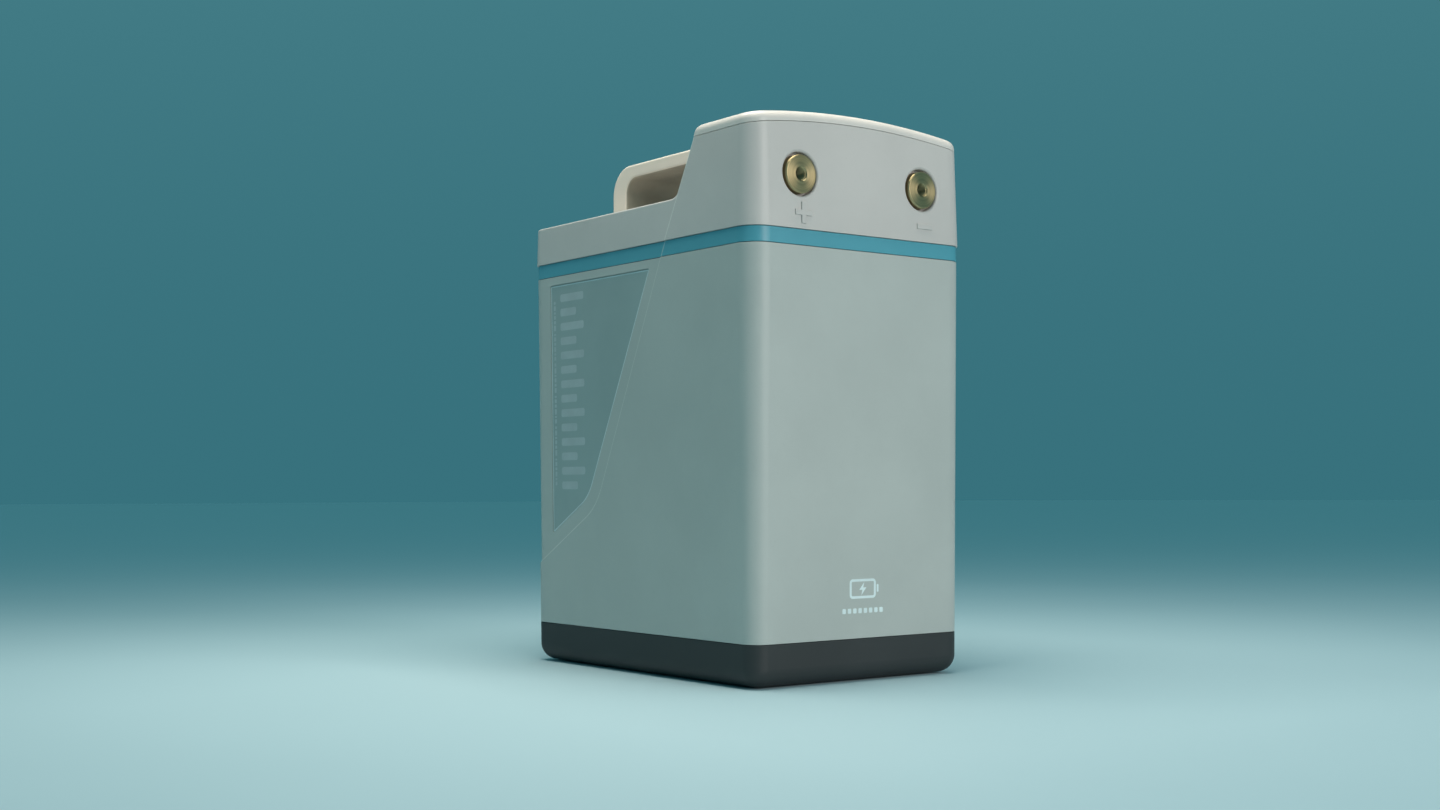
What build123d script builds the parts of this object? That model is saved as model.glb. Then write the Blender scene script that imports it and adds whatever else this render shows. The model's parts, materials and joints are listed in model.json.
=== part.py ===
"""A portable 12 V battery pack in a prismatic case, as an assembly of separate pieces.

Millimetres, +Z up, the origin on the ground under the middle of the case. The terminals are on the
front, which faces -Y, and the carry handle is at the rear, towards +Y.
"""

import math
import os

from build123d import *

os.makedirs("parts", exist_ok=True)

# ---- driving dimensions -------------------------------------------------------------------------

# The case, at its widest, where it meets the trim band
CASE_WIDTH = 173.0
CASE_DEPTH = 250.0
CASE_CORNER = 14.0
CASE_DRAFT = 0.79  # degrees on each side, narrower towards the ground
WALL = 3.2

# Heights above the ground
FOOT_STANDOFF = 0.8
BASE_TOP = 26.0
CASE_TOP = 260.0
BAND_BOTTOM = 260.4
BAND_TOP = 269.6
LID_BOTTOM = 269.9
DECK_TOP = 295.0
SIDE_PARTING = 329.7  # where the lid meets the cap, at the sides
CROWN_RISE = 6.5  # how much higher that joint is in the middle
CAP_HEIGHT = 6.9

# The lid overhangs the band a little and narrows upwards
LID_OVERHANG = 0.6
LID_DRAFT = 1.4
CAP_ROLL = 5.2
SHADOW_GAP = 0.3
EDGE_BREAK = 0.4
FIT_GAP = 0.1
OVERCUT = 1.0  # how far a cut runs past the surface it starts from
CORNER_SHRINK = 9.0  # the most a corner's round shrinks as its outline is set in

# The slanted seam that runs down both sides and sets the rear of the pack back
SEAM_STEP = 1.0
SEAM_Y = -51.4  # the upper line passes here ...
SEAM_Z = 297.7  # ... at this height
SEAM_SLOPE = 0.494  # mm rearwards for each mm down
SEAM_KNEE = 44.0
SEAM_KNEE_Y = 43.8
SEAM_LOW_SLOPE = 0.535  # mm down for each mm rearwards, past the knee
SEAM_EDGE = 0.8
SEAM_MIN_REARWARD, SEAM_MIN_UP, SEAM_MAX_UP = 0.3, 0.2, 0.98
SEAM_OUTER_X, SEAM_OUTER_Y = 70.0, 119.0  # edges outside these are on the pack's surface
DECK_BLEND = 13.0

# Printed label panel in the set-back part of each side
LABEL_TOP, LABEL_REAR = 254.5, 99.0
LABEL_MARGIN = 10.0
LABEL_CORNER = 1.5
LABEL_FOOT_RISE = 5.5  # how far the label's lower run lies over the seam's knee
LABEL_POCKET, LABEL_SUNK, LABEL_GAP = 0.8, 0.4, 0.35

# Trim band, with the spigot that centres the case and the lid on it
BAND_INSET = 0.15
SPIGOT_BOTTOM, SPIGOT_TOP = 254.0, 276.0
SPIGOT_INSET, SPIGOT_WALL = 3.4, 1.9
GASKET_INSET, GASKET_INNER = 1.6, 3.3

# Lid walls
LID_WALL, LID_TOP_WALL = 3.6, 3.0
LID_LIMIT = 360.0  # the lid's outline runs up past its crown, and is cut by it
CROWN_REACH, CROWN_FLOOR = 110.0, 200.0
CAP_START = 300.0
PROFILE_DROP = 5.0
DECK_EDGE = 1.2
WELL_TUBE, TUBE_GAP, TUBE_OVERLAP = 7.2, 0.2, 2.0
SCREW_SEAT = 285.0
SCREW_WELL_RADIUS = 5.4

# Base moulding
BASE_ROUND = 11.0
BASE_WALL = 3.0
BASE_FLOOR_TOP = 4.0
FOOT_X, FOOT_Y, FOOT_RADIUS = 60.0, 98.0, 8.0
FOOT_THICKNESS = 2.2
BASE_SCREW_X, BASE_SCREW_Y = 60.0, 76.0
BASE_PAD_RADIUS, BASE_PAD_TOP = 6.5, 6.0
BASE_RIB, BASE_RIB_PITCH = 1.6, 26.0
BASE_HEAD_TOP = 3.6
RIB_ROOT = 0.5
FOOT_EDGE = 0.5

# Small screws, M4 x 12, and the lid's longer ones, M5 x 40, with their brass inserts
SCREW_RADIUS, SCREW_HEAD_RADIUS, SCREW_HEAD, SCREW_SOCKET = 2.0, 3.8, 2.2, 2.5
LONG_SCREW_RADIUS, LONG_HEAD_RADIUS, LONG_HEAD, LONG_SOCKET = 2.5, 4.6, 2.75, 3.0
LONG_SCREW_LENGTH = 40.0
HEAD_CLEARANCE, SCREW_CLEARANCE, LONG_CLEARANCE = 0.4, 0.2, 0.3
SOCKET_FLOOR = 0.4  # share of a screw's head left under its socket
SCREW_COVER, HOLE_COVER = 1.2, 1.0  # what is left over a blind screw, and over its hole
INSERT_RADIUS, INSERT_LENGTH = 3.5, 10.0
INSERT_RELIEF, HANDLE_RELIEF = 6.0, 4.0
FOOT_INSERT_LENGTH = 7.0
DRILL = 20.0
TALL_DRILL = 80.0

# Inside floor of the case, and the posts that take the lid's screws
FLOOR_BOTTOM, FLOOR_TOP = 12.0, 15.0
POST_X, POST_Y = 72.0, 110.5
POST_BOTTOM, POST_TOP, POST_RADIUS = 226.0, 253.0, 11.0
NECK_INSET, NECK_WALL = 3.4, 2.8
NECK_TOP, NECK_STEP = BASE_TOP + 2, BASE_TOP + 6

# Terminals
TERMINAL_X, TERMINAL_Z = 49.0, 302.6
WELL_RADIUS = 13.1
WELL_LIP = 1.6
WELL_BOSS_RADIUS, WELL_BOSS_SHORT = 17.3, 2.0
WELL_FLOOR_Y = -119.2
WELL_BACK_Y = -112.0
DISC_RADIUS = 11.65
DISC_FRONT_Y = -125.6
DISC_CHAMFER = 0.7
THREAD_BORE_RADIUS = 3.4  # tapped M8
THREAD_CHAMFER_RADIUS = 4.5
THREAD_DEPTH = 16.0
DRILL_POINT = 0.6  # share of the bore's radius
SHANK_RADIUS = 6.9
SHANK_CLEARANCE = 0.15
SHANK_END_Y = -99.0
SEAL_RADIUS, SEAL_THICKNESS, SEAL_GROOVE = 9.2, 0.7, 1.0
WASHER_RADIUS, WASHER_THICKNESS = 11.0, 1.6
NUT_FLATS, NUT_THICKNESS = 21.0, 6.0
MARK_Z, MARK_SIZE, MARK_BAR, MARK_HEIGHT, MARK_ROOT = 279.6, 12.8, 3.1, 0.8, 3.0
PLUS_X, MINUS_X = -47.5, 50.5
TERMINALS = [(-TERMINAL_X, TERMINAL_Z), (TERMINAL_X, TERMINAL_Z)]

# Carry handle
HANDLE_HALF_WIDTH = 30.0
HANDLE_TOP, HANDLE_UNDERSIDE = 341.3, 331.9
HANDLE_REAR, HANDLE_LEG_FRONT = 106.0, 89.0
HANDLE_OUTER_ROUND, HANDLE_INNER_ROUND = 20.0, 11.0
HANDLE_EDGE = 1.6
HANDLE_FOOT, HANDLE_FOOT_BLEND, HANDLE_HEEL = 10.0, 14.0, 4.0
HANDLE_TONGUE, HANDLE_TONGUE_BOTTOM = 8.0, 336.8
HANDLE_NOTCH_GAP = 0.3
CAP_WALL = 2.5
PEGS = [(-52.0, -112.0), (52.0, -112.0), (-52.0, -80.0), (52.0, -80.0)]
PEG_RADIUS, PEG_BOTTOM, PEG_TOP = 2.5, 326.0, 339.2
HANDLE_FOOT_BOTTOM = 304.0
LEG_SCREWS = [(-17.0, 97.5), (17.0, 97.5)]
FOOT_SCREWS = [(-17.0, 0.0), (17.0, 0.0)]
FOOT_SCREW_Z = 318.0
PLUG_GAP = 1.0

# Cells and the pack that holds them
CELL_COUNT = 8
CELL_WIDTH, CELL_THICKNESS, CELL_HEIGHT = 135.0, 27.0, 185.0
CELL_CORNER, CELL_RIM_WALL = 2.5, 0.8
SEPARATOR, SEPARATOR_DROP = 0.5, 2.0
END_PLATE = 4.0
CELL_BOTTOM = FLOOR_TOP + 3.0
CELL_TOP = CELL_BOTTOM + CELL_HEIGHT
CELL_PITCH = CELL_THICKNESS + SEPARATOR
CELL_RIM = 0.5
CELL_POST_X = 46.0
NUT6_FLATS, NUT6_THICKNESS = 10.0, 5.0
CELL_POST_RADIUS, CELL_POST_HEIGHT = 6.0, 3.0
STUD_RADIUS, STUD_HEIGHT = 3.0, 8.0
BUSBAR_THICKNESS, BUSBAR_WIDTH, BUSBAR_CORNER = 2.0, 18.0, 2.0
# which row of posts each bar is on (-1 left, 1 right), and its first and last cell: three series
# bars over two pairs each, and one bar over the pair at each end of the string
BARS = [(-1, 0, 3), (1, 2, 5), (-1, 4, 7), (1, 0, 1), (1, 6, 7)]
END_PLATE_LOW, END_PLATE_SHORT = 8.0, 12.0
PANEL_PITCH, PANEL_COUNT, PANEL_SIZE, PANEL_CORNER = (31.0, 30.0), (4, 5), (24.0, 12.0), 2.0
VENT_RADIUS, VENT_THICKNESS = 7.0, 0.4
BASE_FOAM, BASE_FOAM_X, BASE_FOAM_Y = 3.0, 62.0, 106.0
STRAP_WIDTH, STRAP_THICKNESS = 16.0, 0.8
STRAP_HEIGHTS = (62.0, 152.0)
FOAM_THICKNESS, FOAM_BOTTOM, FOAM_HEIGHT, FOAM_LENGTH = 10.0, 92.0, 44.0, 200.0

# Battery management board, on a carrier over the cells
CARRIER_BOTTOM, CARRIER_THICKNESS = CELL_TOP + 14.0, 2.0
CARRIER_WIDTH, CARRIER_DEPTH, CARRIER_CORNER = 130.0, 196.0, 6.0
WINDOW_PITCH, WINDOW_COUNT, WINDOW_SIZE, WINDOW_CORNER = (34.0, 40.0), (3, 4), (22.0, 26.0), 4.0
CARRIER_LEG_RADIUS, STANDOFF_RADIUS = 3.5, 4.0
CARRIER_LEGS = [(x, y) for x in (-61.0, 61.0) for y in (-80.0, 0.0, 80.0)]
BOARD_BOTTOM = CARRIER_BOTTOM + CARRIER_THICKNESS + 5.0
BOARD_THICKNESS = 1.6
BOARD_WIDTH, BOARD_DEPTH, BOARD_Y, BOARD_CORNER = 124.0, 150.0, 5.0, 3.0
BOARD_HOLE_INSET = 5.0
BOARD_SCREW_RADIUS, BOARD_HEAD_RADIUS, BOARD_HEAD = 1.5, 2.8, 2.0
LINK_THICKNESS, LINK_WIDTH = 2.0, 14.0
LANE_X = 20.0  # the positive bar runs forward along this line
FUSE_FRONT, FUSE_REAR = -25.0, 5.0
FUSE_TAG, FUSE_SIDE, FUSE_BELOW, FUSE_ABOVE = 5.0, 2.0, 3.5, 6.0
RISER_FOOT, RISER_ABOVE = 8.0, 2.0
NUT6_GAP, NUT6_CORNER_GAP = 5.6, 5.9  # from a post's axis to the bar beside its nut
NEGATIVE_OUTER, NEGATIVE_INNER = 68.0, 57.0
NEGATIVE_FRONT, NEGATIVE_REAR = -98.0, -44.0
NEGATIVE_BAR_EDGE, NEGATIVE_BAR_REAR = 53.0, -48.0

# What stands on the board
TRANSISTOR_MIDDLE, TRANSISTOR_PITCH, TRANSISTOR_COUNT = (-14.0, -28.0), (14.0, 16.0), (6, 2)
TRANSISTOR_SIZE, TRANSISTOR_HEIGHT = (10.0, 9.0), 3.4
HEAT_SINK_WIDTH, HEAT_SINK_DEPTH, HEAT_SINK_BASE = 88.0, 34.0, 3.0
FIN_PITCH, FIN_COUNT, FIN_THICKNESS, FIN_HEIGHT = 6.0, 15, 1.6, 14.0
SHUNT_X, SHUNT_Y, SHUNT_RISE, SHUNT_THICKNESS = (42.0, 56.0), (-44.0, -18.0), 1.0, 3.0
SHUNT_FOOT_INSET, SHUNT_FOOT = 1.0, 4.0
CONNECTORS, CONNECTOR_SIZE, CONNECTOR_HEIGHT = [(-20.0, 66.0), (20.0, 66.0)], (28.0, 8.0), 9.0
CONNECTOR_WALL, CONNECTOR_FLOOR = 1.0, 1.5
CHIPS, CHIP_SIZE, CHIP_HEIGHT = [(-30.0, 25.0), (8.0, 30.0), (38.0, 20.0)], 12.0, 1.6
CAPACITORS, CAPACITOR_RADIUS, CAPACITOR_HEIGHT = [(-50.0, 44.0), (-50.0, 30.0), (-36.0, 46.0)], 4.5, 12.0
FLEX_THICKNESS, FLEX_WIDTH = 0.4, 12.0
FLEX_RISE, FLEX_OVER, FLEX_FRONT, FLEX_SIDE = 3.0, 14.0, 66.0, 26.0

half_width = CASE_WIDTH / 2
half_depth = CASE_DEPTH / 2
lid_half_width = half_width + LID_OVERHANG
lid_half_depth = half_depth + LID_OVERHANG
FAR = 400.0


def case_inset(z):
    """How far the drafted case wall stands in at height z."""
    return (CASE_TOP - z) * math.tan(math.radians(CASE_DRAFT))


def lid_inset(z):
    """How far the drafted lid wall stands in at height z."""
    return (z - LID_BOTTOM) * math.tan(math.radians(LID_DRAFT))


def corner_round(inset):
    """The corner radius of the outline when it is set in."""
    return CASE_CORNER - min(inset, CORNER_SHRINK)


def case_block(low, high, inset):
    """The case's drafted outline between two heights, set in by inset."""
    step = inset + case_inset(low)
    with BuildPart() as block:
        with BuildSketch(Plane.XY.offset(low)):
            RectangleRounded(CASE_WIDTH - 2 * step, CASE_DEPTH - 2 * step, corner_round(step))
        extrude(amount=high - low, taper=-CASE_DRAFT)
    return block.part


def lid_block(low, high, inset):
    """The lid's drafted outline between two heights, set in by inset."""
    step = inset + lid_inset(low)
    with BuildPart() as block:
        with BuildSketch(Plane.XY.offset(low)):
            RectangleRounded(2 * (lid_half_width - step), 2 * (lid_half_depth - step), corner_round(step))
        extrude(amount=high - low, taper=LID_DRAFT)
    return block.part


def outline_plate(low, high, inset):
    """An upright plate of the outline at the top of the case, set in by inset."""
    with BuildPart() as plate:
        with BuildSketch(Plane.XY.offset(low)):
            RectangleRounded(CASE_WIDTH - 2 * inset, CASE_DEPTH - 2 * inset, corner_round(inset))
        extrude(amount=high - low)
    return plate.part


def seam_y(z, shift=0.0):
    """Where the seam's upper line is at height z. A shift moves it straight forwards."""
    return SEAM_Y + SEAM_SLOPE * (SEAM_Z - z) - shift


def foot_plane(depth):
    """The slanted wall's plane at the handle's foot, moved rearwards by depth."""
    normal = Vector(0, 1, SEAM_SLOPE).normalized()
    origin = Vector(0, seam_y(FOOT_SCREW_Z), FOOT_SCREW_Z) + normal * depth
    return Plane(origin=origin, x_dir=(1, 0, 0), z_dir=normal)


knee_z = SEAM_Z - (SEAM_KNEE_Y - SEAM_Y) / SEAM_SLOPE


def corner_at(sketch, y, z):
    """The corner of a side outline that lies at y, z."""
    return sketch.vertices().sort_by_distance(Vector(y, z))[0]


def in_front_of_seam():
    """Everything ahead of the seam and under its lower run."""
    with BuildPart() as prism:
        with BuildSketch(Plane.YZ) as outline:
            with BuildLine():
                Polyline(
                    (-FAR, -FAR),
                    (FAR, -FAR),
                    (FAR, knee_z - SEAM_LOW_SLOPE * (FAR - SEAM_KNEE_Y)),
                    (SEAM_KNEE_Y, knee_z),
                    (seam_y(FAR), FAR),
                    (-FAR, FAR),
                    close=True,
                )
            make_face()
            fillet(corner_at(outline, SEAM_KNEE_Y, knee_z), radius=SEAM_KNEE)
        extrude(amount=FAR, both=True)
    return prism.part


def crown_prism(rise):
    """A prism along the pack whose top is the crowned joint, raised by rise."""
    arch_half = lid_half_width - lid_inset(SIDE_PARTING)
    radius = (arch_half**2 + CROWN_RISE**2) / (2 * CROWN_RISE)
    crown = SIDE_PARTING + CROWN_RISE + rise
    end = crown - radius + math.sqrt(radius**2 - CROWN_REACH**2)
    left, right = (-CROWN_REACH, end), (CROWN_REACH, end)
    with BuildPart() as prism:
        with BuildSketch(Plane.XZ):
            with BuildLine():
                ThreePointArc(left, (0, crown), right)
                Polyline(right, (CROWN_REACH, CROWN_FLOOR), (-CROWN_REACH, CROWN_FLOOR), left)
            make_face()
        extrude(amount=FAR, both=True)
    return prism.part


def corners(x, y):
    """Four places, one in each quarter."""
    return [(sx * x, sy * y) for sx in (-1, 1) for sy in (-1, 1)]


front_region = in_front_of_seam()


def on_seam(face):
    """Whether a face belongs to the seam: it leans rearwards and up, and is not the flat top."""
    normal = face.normal_at()
    return normal.Y > SEAM_MIN_REARWARD and SEAM_MIN_UP < normal.Z < SEAM_MAX_UP


def seam_edges(part, top):
    """The outer edges of the seam's faces, without the ones between them and the one at the top."""
    edges = [e for f in part.faces().filter_by(on_seam) for e in f.edges() if e.center().Z < top - FIT_GAP]
    return [e for e in edges if abs(e.center().X) > SEAM_OUTER_X or e.center().Y > SEAM_OUTER_Y]


# ---- base moulding and what is fixed to it ------------------------------------------------------

with BuildPart() as base_hollow:
    add(case_block(BASE_FLOOR_TOP, BASE_TOP + OVERCUT, BASE_WALL))
    fillet(base_hollow.faces().sort_by(Axis.Z)[0].edges(), radius=BASE_ROUND - BASE_WALL)

with BuildPart() as base_tray:
    add(case_block(FOOT_STANDOFF, BASE_TOP, 0.0))
    fillet(base_tray.faces().sort_by(Axis.Z)[0].edges(), radius=BASE_ROUND)
    fillet(base_tray.faces().sort_by(Axis.Z)[-1].edges(), radius=EDGE_BREAK)
    add(base_hollow.part, mode=Mode.SUBTRACT)
    with BuildSketch(Plane.XY.offset(BASE_FLOOR_TOP - RIB_ROOT)):
        with Locations(*corners(BASE_SCREW_X, BASE_SCREW_Y)):
            Circle(BASE_PAD_RADIUS)
        with GridLocations(BASE_RIB_PITCH, 0, 4, 1):
            Rectangle(BASE_RIB, 2 * BASE_SCREW_Y)
    extrude(amount=BASE_PAD_TOP - BASE_FLOOR_TOP + RIB_ROOT)
    with BuildSketch(Plane.XY):
        with Locations(*corners(BASE_SCREW_X, BASE_SCREW_Y)):
            Circle(SCREW_HEAD_RADIUS + HEAD_CLEARANCE)
        with Locations(*corners(FOOT_X, FOOT_Y)):
            Circle(FOOT_RADIUS + FIT_GAP)
    extrude(amount=FOOT_THICKNESS, mode=Mode.SUBTRACT)
    with BuildSketch(Plane.XY):
        with Locations(*corners(BASE_SCREW_X, BASE_SCREW_Y)):
            Circle(SCREW_HEAD_RADIUS + HEAD_CLEARANCE)
    extrude(amount=BASE_HEAD_TOP, mode=Mode.SUBTRACT)
    with BuildSketch(Plane.XY):
        with Locations(*corners(BASE_SCREW_X, BASE_SCREW_Y)):
            Circle(SCREW_RADIUS + SCREW_CLEARANCE)
    extrude(amount=BASE_PAD_TOP + OVERCUT, mode=Mode.SUBTRACT)

with BuildPart() as rubber_feet:
    with BuildSketch(Plane.XY):
        with Locations(*corners(FOOT_X, FOOT_Y)):
            Circle(FOOT_RADIUS)
    extrude(amount=FOOT_THICKNESS)
    fillet(rubber_feet.faces().group_by(Axis.Z)[0].edges(), radius=FOOT_EDGE)

with BuildPart() as base_screws:
    with BuildSketch(Plane.XY.offset(BASE_HEAD_TOP - SCREW_HEAD)):
        with Locations(*corners(BASE_SCREW_X, BASE_SCREW_Y)):
            Circle(SCREW_HEAD_RADIUS)
            RegularPolygon(SCREW_SOCKET / 2, 6, major_radius=False, mode=Mode.SUBTRACT)
    extrude(amount=SCREW_HEAD * (1 - SOCKET_FLOOR))
    with BuildSketch(Plane.XY.offset(BASE_HEAD_TOP - SCREW_HEAD * SOCKET_FLOOR)):
        with Locations(*corners(BASE_SCREW_X, BASE_SCREW_Y)):
            Circle(SCREW_HEAD_RADIUS)
    extrude(amount=SCREW_HEAD * SOCKET_FLOOR)
    with BuildSketch(Plane.XY.offset(BASE_HEAD_TOP)):
        with Locations(*corners(BASE_SCREW_X, BASE_SCREW_Y)):
            Circle(SCREW_RADIUS)
    extrude(amount=FLOOR_TOP - SCREW_COVER - BASE_HEAD_TOP)

# ---- case ---------------------------------------------------------------------------------------

label_knee_y, label_knee_z = SEAM_KNEE_Y + LABEL_MARGIN, knee_z + LABEL_FOOT_RISE
label_outline = [
    (LABEL_REAR, LABEL_TOP),
    (seam_y(LABEL_TOP) + LABEL_MARGIN, LABEL_TOP),
    (label_knee_y, label_knee_z),
    (LABEL_REAR, label_knee_z - SEAM_LOW_SLOPE * (LABEL_REAR - label_knee_y)),
]


def label_prism(side, shrink):
    """The label's outline, run out through one side of the case (side is -1 or 1)."""
    with BuildPart() as prism:
        with BuildSketch(Plane.YZ) as outline:
            with BuildLine():
                Polyline(*label_outline, close=True)
            make_face()
            fillet(corner_at(outline, *label_outline[2]), radius=SEAM_KNEE - LABEL_MARGIN)
            for y, z in (label_outline[0], label_outline[1], label_outline[3]):
                fillet(corner_at(outline, y, z), radius=LABEL_CORNER)
            offset(amount=-shrink, mode=Mode.REPLACE)
        extrude(amount=side * FAR)
    return prism.part


with BuildPart() as case_front:
    add(case_block(BASE_TOP + SHADOW_GAP, CASE_TOP, 0.0))
    add(front_region, mode=Mode.INTERSECT)
    fillet(seam_edges(case_front, CASE_TOP), radius=SEAM_EDGE)

with BuildPart() as label_floor:
    add(case_block(FLOOR_TOP, CASE_TOP, SEAM_STEP + LABEL_POCKET))

with BuildPart() as label_pockets:
    for side in (-1, 1):
        add(label_prism(side, 0.0))
    add(label_floor.part, mode=Mode.SUBTRACT)

with BuildPart() as main_case:
    add(case_front.part)
    add(case_block(BASE_TOP + SHADOW_GAP, CASE_TOP, SEAM_STEP))
    add(case_block(FLOOR_BOTTOM, NECK_TOP, NECK_INSET))
    add(case_block(FLOOR_TOP, NECK_STEP, NECK_INSET + NECK_WALL), mode=Mode.SUBTRACT)
    add(case_block(NECK_STEP, CASE_TOP + OVERCUT, WALL), mode=Mode.SUBTRACT)
    add(label_pockets.part, mode=Mode.SUBTRACT)
    with BuildSketch(Plane.XY.offset(POST_BOTTOM)):
        with Locations(*corners(POST_X, POST_Y)):
            Circle(POST_RADIUS)
    extrude(amount=POST_TOP - POST_BOTTOM)
    with BuildSketch(Plane.XY.offset(POST_TOP)):
        with Locations(*corners(POST_X, POST_Y)):
            Circle(INSERT_RADIUS)
    extrude(amount=-INSERT_LENGTH, mode=Mode.SUBTRACT)
    with BuildSketch(Plane.XY.offset(POST_TOP)):
        with Locations(*corners(POST_X, POST_Y)):
            Circle(LONG_SCREW_RADIUS + SCREW_CLEARANCE)
    extrude(amount=-INSERT_LENGTH - INSERT_RELIEF, mode=Mode.SUBTRACT)
    with BuildSketch(Plane.XY.offset(BASE_PAD_TOP)):
        with Locations(*corners(BASE_SCREW_X, BASE_SCREW_Y)):
            Circle(BASE_PAD_RADIUS)
    extrude(amount=FLOOR_BOTTOM - BASE_PAD_TOP)
    with BuildSketch(Plane.XY.offset(BASE_PAD_TOP)):
        with Locations(*corners(BASE_SCREW_X, BASE_SCREW_Y)):
            Circle(SCREW_RADIUS)
    extrude(amount=FLOOR_TOP - HOLE_COVER - BASE_PAD_TOP, mode=Mode.SUBTRACT)

with BuildPart() as case_inserts:
    with BuildSketch(Plane.XY.offset(POST_TOP - INSERT_LENGTH)):
        with Locations(*corners(POST_X, POST_Y)):
            Circle(INSERT_RADIUS)
            Circle(LONG_SCREW_RADIUS, mode=Mode.SUBTRACT)
    extrude(amount=INSERT_LENGTH)


def label_panel(side):
    """The thin printed panel that lies in the pocket on one side."""
    with BuildPart() as panel:
        add(label_prism(side, LABEL_GAP))
        add(case_block(FLOOR_TOP, CASE_TOP, SEAM_STEP + LABEL_SUNK), mode=Mode.INTERSECT)
        add(label_floor.part, mode=Mode.SUBTRACT)
    return panel.part


label_panel_left = label_panel(-1)
label_panel_right = label_panel(1)

# ---- trim band and its two gaskets --------------------------------------------------------------

with BuildPart() as band_front:
    add(outline_plate(BAND_BOTTOM, BAND_TOP, BAND_INSET))
    add(front_region, mode=Mode.INTERSECT)
    fillet(seam_edges(band_front, BAND_TOP), radius=SEAM_EDGE)

with BuildPart() as trim_band:
    add(band_front.part)
    add(outline_plate(BAND_BOTTOM, BAND_TOP, BAND_INSET + SEAM_STEP))
    add(outline_plate(SPIGOT_BOTTOM, SPIGOT_TOP, SPIGOT_INSET))
    add(
        outline_plate(SPIGOT_BOTTOM - OVERCUT, SPIGOT_TOP + OVERCUT, SPIGOT_INSET + SPIGOT_WALL),
        mode=Mode.SUBTRACT,
    )

with BuildPart() as case_gasket:
    add(outline_plate(CASE_TOP, BAND_BOTTOM, GASKET_INSET))
    add(outline_plate(CASE_TOP - OVERCUT, BAND_BOTTOM + OVERCUT, GASKET_INNER), mode=Mode.SUBTRACT)

with BuildPart() as lid_gasket:
    add(outline_plate(BAND_TOP, LID_BOTTOM, GASKET_INSET))
    add(outline_plate(BAND_TOP - OVERCUT, LID_BOTTOM + OVERCUT, GASKET_INNER), mode=Mode.SUBTRACT)

# ---- lid ----------------------------------------------------------------------------------------


def lid_profile(drop):
    """The lid's side outline, set inwards by drop, as a prism across the pack."""
    forward = drop * math.hypot(1, SEAM_SLOPE)
    deck = DECK_TOP - drop
    with BuildPart() as prism:
        with BuildSketch(Plane.YZ) as outline:
            with BuildLine():
                Polyline(
                    (-FAR, LID_BOTTOM - PROFILE_DROP),
                    (FAR, LID_BOTTOM - PROFILE_DROP),
                    (FAR, deck),
                    (seam_y(deck, forward), deck),
                    (seam_y(FAR, forward), FAR),
                    (-FAR, FAR),
                    close=True,
                )
            make_face()
            fillet(corner_at(outline, seam_y(deck, forward), deck), radius=DECK_BLEND + drop)
        extrude(amount=FAR, both=True)
    return prism.part


with BuildPart() as lid_front:
    add(lid_block(LID_BOTTOM, LID_LIMIT, 0.0))
    add(lid_profile(0.0), mode=Mode.INTERSECT)
    add(crown_prism(0.0), mode=Mode.INTERSECT)
    add(front_region, mode=Mode.INTERSECT)
    fillet(seam_edges(lid_front, SIDE_PARTING), radius=SEAM_EDGE)

with BuildPart() as lid_shell:
    add(lid_block(LID_BOTTOM, LID_LIMIT, SEAM_STEP))
    add(lid_profile(0.0), mode=Mode.INTERSECT)
    add(crown_prism(0.0), mode=Mode.INTERSECT)
    deck_rim = lid_shell.faces().filter_by(Axis.Z).sort_by(Axis.Z)[-1].edges()
    fillet([e for e in deck_rim if e.center().Y > seam_y(DECK_TOP) + DECK_BLEND], radius=DECK_EDGE)
    add(lid_front.part)

with BuildPart() as lid_hollow:
    add(lid_block(LID_BOTTOM - OVERCUT, LID_LIMIT, LID_WALL))
    add(lid_profile(LID_TOP_WALL), mode=Mode.INTERSECT)
    add(crown_prism(-LID_TOP_WALL), mode=Mode.INTERSECT)



def well_mouths(part):
    """The edges where the terminal wells come out through the lid's front."""
    mouths = []
    for x, z in TERMINALS:
        middle = Vector(x, -half_depth, z)
        away = {e: (e.center(CenterOf.BOUNDING_BOX) - middle).length for e in part.edges()}
        mouths += [e for e, distance in away.items() if distance < WELL_LIP]
    return mouths


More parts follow.
